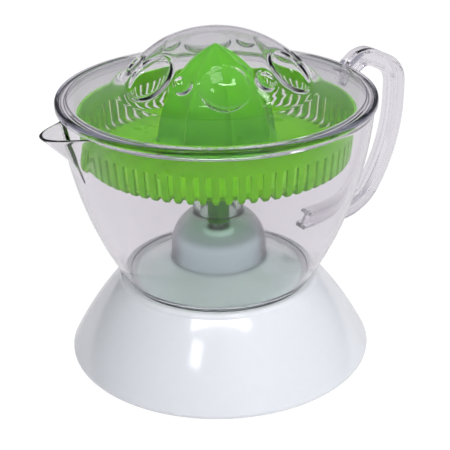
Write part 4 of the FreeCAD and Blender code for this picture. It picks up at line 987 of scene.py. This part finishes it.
def dimple_balls(sizes):
    """Centres and radii of the balls that press the dimples, large and small by turns."""
    size = sizes.dome_radius / MM
    rise = math.radians(48.3)
    first = math.radians(4.5)
    count = sizes.dimple_count
    small_round = 6.0
    small_depth = 2.4
    kinds = (
        (sizes.dimple_round / MM, sizes.dimple_depth / MM, 0.0),
        (small_round, small_depth, math.pi / count),
    )
    balls = []
    for radius, depth, turn in kinds:
        away = size + radius - depth
        for k in range(count):
            angle = first + turn + math.tau * k / count
            way = Vector((math.cos(rise) * math.cos(angle), math.cos(rise) * math.sin(angle), math.sin(rise)))
            balls.append((way * away + Vector((0, 0, DOME_CENTRE_Z)), radius))
    return balls


def press_dimples(cover, sizes):
    """Push the dome's outer and inner faces in where the balls lie, with a sharper edge outside."""
    outer_edge = 0.25
    inner_edge = 0.9
    low_z = 158.0
    dome_reach = 62.0
    margin = 3.0
    least = 0.02
    balls = dimple_balls(sizes)
    centre = Vector((0, 0, DOME_CENTRE_Z))
    facing_down = [vertex.normal.z < 0 for vertex in cover.data.vertices]
    for vertex, inner in zip(cover.data.vertices, facing_down):
        place = vertex.co / MM
        if place.z < low_z or math.hypot(place.x, place.y) > dome_reach:
            continue
        out = (place - centre).normalized()
        wall = LID_WALL if inner else 0.0
        edge = inner_edge if inner else outer_edge
        push = 0.0
        for middle, radius in balls:
            away = place - middle
            reach = radius + wall
            along = away.dot(out)
            square = reach ** 2 - away.length_squared + along ** 2
            if away.length < reach + margin and square > 0:
                depth = along + math.sqrt(square)
                push = max(push, (depth + math.sqrt(depth ** 2 + edge ** 2)) / 2)
        if push > least:
            vertex.co = (place - out * push) * MM


class JUICER_OT_cover(bpy.types.Operator):
    """Clear domed cover with its ring of dimples"""

    bl_idname = "juicer.cover"
    bl_label = "Cover"

    def execute(self, context):
        scene = context.scene
        sizes = scene.juicer_sizes
        cover = turned("dust_cover_shell", cover_profile(sizes), 400)
        press_dimples(cover, sizes)
        smooth(cover, 50.0)
        finished(cover, "lid", cover_plastic(scene.juicer_colours), "clear_plastic", "dust_cover")
        return {"FINISHED"}


# Works that keep their CAD solids

class JUICER_OT_works(bpy.types.Operator):
    """Finishes of the pieces that keep their CAD solids"""

    bl_idname = "juicer.works"
    bl_label = "Works"

    def execute(self, context):
        materials = {}
        for row in frame["record"]["subparts"]:
            slot = row["material_slot"]
            if slot not in materials:
                materials[slot] = finish("works_" + slot, *WORKS[slot])
            node = frame["nodes"][row["node"]]
            node.data.materials.clear()
            node.data.materials.append(materials[slot])
        return {"FINISHED"}


# Return spring under the thrust cup

def coil(name, low, high):
    """Round-wire coil between two heights, given in millimetres."""
    sides = 12
    ring = []
    for k in range(sides):
        angle = math.tau * k / sides
        x = SPRING_RADIUS + SPRING_WIRE * math.cos(angle)
        z = low + SPRING_WIRE * (1 + math.sin(angle))
        ring.append((x, z))
    piece = drawn(name, ring)
    rise = (high - low - 2 * SPRING_WIRE) / SPRING_TURNS * MM
    swept(piece, 40, rise, SPRING_TURNS)
    bpy.ops.mesh.fill_holes(sides=0)
    faced_outwards()
    return piece


class JUICER_OT_spring(bpy.types.Operator):
    """Coil spring that shortens as the cone is pressed, built here at one length and fixed to the base"""

    bl_idname = "juicer.spring"
    bl_label = "Return spring"

    def execute(self, context):
        low, high = (corner[2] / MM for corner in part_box("return_spring"))
        spring = coil("return_spring_coil", low, high)
        smooth(spring, 40.0)
        finished(spring, "base", finish("spring_steel", *WORKS["steel"]), "steel", "return_spring")
        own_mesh(spring)
        return {"FINISHED"}


# Stage

# Where the mirrored floor turns from dim to bright along the view, in metres, its share of glow and its size
DIM_UNTIL = -0.22
BRIGHT_FROM = -0.06
FLOOR_GLOW = 0.84
FLOOR_SIZE = 12.0

# Colours of the floor to the camera, through clear plastic, and mirrored in front and behind
FLOOR_SEEN = (1.12, 1.12, 1.12)
FLOOR_THROUGH = (0.87, 0.85, 0.89)
FLOOR_DIM = (0.12, 0.12, 0.14)
FLOOR_BRIGHT = (0.85, 0.83, 0.87)

# Colours of the room: the sweep low down, the room high up, and the room mirrored
SWEEP = (0.86, 0.84, 0.88)
ROOM = (0.36, 0.36, 0.43)
ROOM_MIRRORED = (0.16, 0.16, 0.19)

# Rise of the line of sight at which the sweep ends and at which the room begins
SWEEP_END = 0.15
ROOM_START = 0.7

# Light of the room on matt surfaces, in the open and through clear plastic
ROOM_LIGHT = 0.33
ROOM_LIGHT_THROUGH = 5.0

# Lamps: name, place, aim, size, power, seen in gloss
LAMPS = (
    ("key_strip", (-0.44, -0.71, 1.13), (0, 0, 0.05), (1.2, 0.1), 4.0, True),
    ("front_fill", (0.05, -1.15, 0.7), (0, 0, 0.08), (0.8, 0.6), 7.0, False),
    ("left_window", (-1.1, -0.75, 1.1), (0, 0, 0.05), (0.25, 0.3), 1.5, True),
    ("right_window", (0.75, -0.7, 1.35), (0, 0, 0.05), (0.12, 0.3), 1.0, True),
)


def camera_matrix():
    """Where the camera stands and how it is turned."""
    turn = math.radians(CAMERA_TURN)
    tilt = math.radians(CAMERA_TILT)
    roll = math.radians(CAMERA_ROLL)
    ahead = Vector((math.sin(turn) * math.cos(tilt), math.cos(turn) * math.cos(tilt), -math.sin(tilt)))
    right = Vector((math.cos(turn), -math.sin(turn), 0))
    up = right.cross(ahead)
    x_axis = right * math.cos(roll) - up * math.sin(roll)
    y_axis = right * math.sin(roll) + up * math.cos(roll)
    place = right * CAMERA_ASIDE + Vector((0, 0, CAMERA_AIM_Z)) - ahead * CAMERA_DISTANCE
    return Matrix.Translation(place) @ Matrix((x_axis, y_axis, -ahead)).transposed().to_4x4()


def behind(nodes, links, coordinates):
    """Number that grows from 0 well in front of the juicer to 1 beside and behind it."""
    turn = math.radians(CAMERA_TURN)
    along = nodes.new("ShaderNodeVectorMath")
    along.operation = "DOT_PRODUCT"
    along.inputs[1].default_value = (math.sin(turn), math.cos(turn), 0)
    share = nodes.new("ShaderNodeMapRange")
    share.inputs["From Min"].default_value = DIM_UNTIL
    share.inputs["From Max"].default_value = BRIGHT_FROM
    links.new(coordinates, along.inputs[0])
    links.new(along.outputs["Value"], share.inputs["Value"])
    return share.outputs["Result"]


def mirrored_ray(nodes, links, path):
    """Number that is 1 for mirrored rays that don't pass through clear plastic."""
    mirrored = nodes.new("ShaderNodeMath")
    mirrored.operation = "GREATER_THAN"
    links.new(path.outputs["Is Glossy Ray"], mirrored.inputs[0])
    links.new(path.outputs["Is Transmission Ray"], mirrored.inputs[1])
    return mirrored.outputs[0]


def two_tone(nodes, links, share, low, high):
    """Colour that runs from low to high with a share."""
    mix = nodes.new("ShaderNodeMix")
    mix.data_type = "RGBA"
    mix.inputs["A"].default_value = (*low, 1)
    mix.inputs["B"].default_value = (*high, 1)
    links.new(share, mix.inputs["Factor"])
    return mix.outputs["Result"]


def floor_finish(colours):
    """Pale floor: near white to the camera with its shadow kept, and dim in front where it is mirrored."""
    material = bpy.data.materials.new("pale_floor")
    material.use_nodes = True
    nodes = material.node_tree.nodes
    links = material.node_tree.links
    nodes.clear()
    output = nodes.new("ShaderNodeOutputMaterial")
    matt = nodes.new("ShaderNodeBsdfDiffuse")
    matt.inputs["Color"].default_value = (*colours.floor, 1)
    place = nodes.new("ShaderNodeTexCoord")
    path = nodes.new("ShaderNodeLightPath")
    white = nodes.new("ShaderNodeRGB")
    white.outputs[0].default_value = (*FLOOR_SEEN, 1)
    through = nodes.new("ShaderNodeRGB")
    through.outputs[0].default_value = (*FLOOR_THROUGH, 1)
    back = behind(nodes, links, place.outputs["Object"])
    rows = (
        (path.outputs["Is Camera Ray"], white.outputs[0]),
        (path.outputs["Is Transmission Ray"], through.outputs[0]),
        (mirrored_ray(nodes, links, path), two_tone(nodes, links, back, FLOOR_DIM, FLOOR_BRIGHT)),
    )
    surface = matt.outputs[0]
    for ray, colour in rows:
        glow = nodes.new("ShaderNodeEmission")
        share = nodes.new("ShaderNodeMath")
        share.operation = "MULTIPLY"
        share.inputs[1].default_value = FLOOR_GLOW
        mix = nodes.new("ShaderNodeMixShader")
        links.new(colour, glow.inputs["Color"])
        links.new(ray, share.inputs[0])
        links.new(share.outputs[0], mix.inputs["Fac"])
        links.new(surface, mix.inputs[1])
        links.new(glow.outputs[0], mix.inputs[2])
        surface = mix.outputs[0]
    links.new(surface, output.inputs["Surface"])
    return material


def studio_world():
    """Soft studio: a pale sweep low down, a dim room above, and even light on matt surfaces."""
    world = bpy.data.worlds.new("studio")
    world.use_nodes = True
    nodes = world.node_tree.nodes
    links = world.node_tree.links
    background = nodes["Background"]
    place = nodes.new("ShaderNodeTexCoord")
    parts = nodes.new("ShaderNodeSeparateXYZ")
    height = nodes.new("ShaderNodeMapRange")
    height.inputs["From Min"].default_value = SWEEP_END
    height.inputs["From Max"].default_value = ROOM_START
    path = nodes.new("ShaderNodeLightPath")
    light = nodes.new("ShaderNodeMapRange")
    light.inputs["To Min"].default_value = ROOM_LIGHT
    light.inputs["To Max"].default_value = ROOM_LIGHT_THROUGH
    scattered = nodes.new("ShaderNodeMath")
    scattered.operation = "GREATER_THAN"
    scattered.inputs[1].default_value = 0.5
    seen = nodes.new("ShaderNodeMix")
    seen.data_type = "RGBA"
    mix = nodes.new("ShaderNodeMix")
    mix.data_type = "RGBA"
    links.new(place.outputs["Generated"], parts.inputs[0])
    links.new(parts.outputs["Z"], height.inputs["Value"])
    through = two_tone(nodes, links, height.outputs["Result"], SWEEP, ROOM)
    links.new(mirrored_ray(nodes, links, path), seen.inputs["Factor"])
    links.new(through, seen.inputs["A"])
    seen.inputs["B"].default_value = (*ROOM_MIRRORED, 1)
    links.new(path.outputs["Is Transmission Ray"], light.inputs["Value"])
    links.new(path.outputs["Diffuse Depth"], scattered.inputs[0])
    links.new(scattered.outputs[0], mix.inputs["Factor"])
    links.new(seen.outputs["Result"], mix.inputs["A"])
    links.new(light.outputs["Result"], mix.inputs["B"])
    links.new(mix.outputs["Result"], background.inputs["Color"])
    bpy.context.scene.world = world


def softbox(name, place, aim, size, power, in_gloss):
    """Rectangular lamp that points at its aim."""
    deselect()
    bpy.ops.object.light_add(type="AREA", location=place)
    lamp = bpy.context.object
    lamp.name = name
    lamp.data.shape = "RECTANGLE"
    lamp.data.size, lamp.data.size_y = size
    lamp.data.energy = power
    lamp.rotation_euler = (Vector(aim) - Vector(place)).to_track_quat("-Z", "Y").to_euler()
    lamp.visible_glossy = in_gloss


class JUICER_OT_stage(bpy.types.Operator):
    """Pale floor, soft studio light and the camera"""

    bl_idname = "juicer.stage"
    bl_label = "Stage"

    def execute(self, context):
        scene = context.scene
        deselect()
        bpy.ops.mesh.primitive_plane_add(size=FLOOR_SIZE)
        floor = bpy.context.object
        floor.name = "floor"
        floor.data.materials.append(floor_finish(scene.juicer_colours))
        studio_world()
        for lamp in LAMPS:
            softbox(*lamp)
        deselect()
        bpy.ops.object.camera_add()
        camera = bpy.context.object
        camera.name = "camera"
        camera.matrix_world = camera_matrix()
        camera.data.sensor_width = CAMERA_SENSOR
        camera.data.lens = CAMERA_LENS
        camera.data.clip_start = 0.01
        scene.camera = camera
        scene.view_settings.view_transform = "Standard"
        return {"FINISHED"}


class JUICER_PT_panel(bpy.types.Panel):
    """Sizes, colours and steps of the juicer"""

    bl_idname = "JUICER_PT_panel"
    bl_label = "Citrus press juicer"
    bl_space_type = "VIEW_3D"
    bl_region_type = "UI"
    bl_category = "Juicer"

    def draw(self, context):
        layout = self.layout
        for group in (context.scene.juicer_sizes, context.scene.juicer_colours):
            column = layout.column(align=True)
            for key in group.__annotations__:
                column.prop(group, key)
        for step in STEPS:
            layout.operator(step.bl_idname)


STEPS = (
    JUICER_OT_works, JUICER_OT_spring, JUICER_OT_base, JUICER_OT_jug, JUICER_OT_strainer, JUICER_OT_cone,
    JUICER_OT_cover, JUICER_OT_stage,
)
CLASSES = (JuicerSizes, JuicerColours, *STEPS, JUICER_PT_panel)


def register():
    for entry in CLASSES:
        bpy.utils.register_class(entry)
    bpy.types.Scene.juicer_sizes = PointerProperty(type=JuicerSizes)
    bpy.types.Scene.juicer_colours = PointerProperty(type=JuicerColours)


def unregister():
    del bpy.types.Scene.juicer_colours
    del bpy.types.Scene.juicer_sizes
    for entry in reversed(CLASSES):
        bpy.utils.unregister_class(entry)


def main():
    register()
    bpy.ops.juicer.works()
    bpy.ops.juicer.spring()
    bpy.ops.juicer.base()
    bpy.ops.juicer.jug()
    bpy.ops.juicer.strainer()
    bpy.ops.juicer.cone()
    bpy.ops.juicer.cover()
    bpy.ops.juicer.stage()


if __name__ == "__main__":
    main()
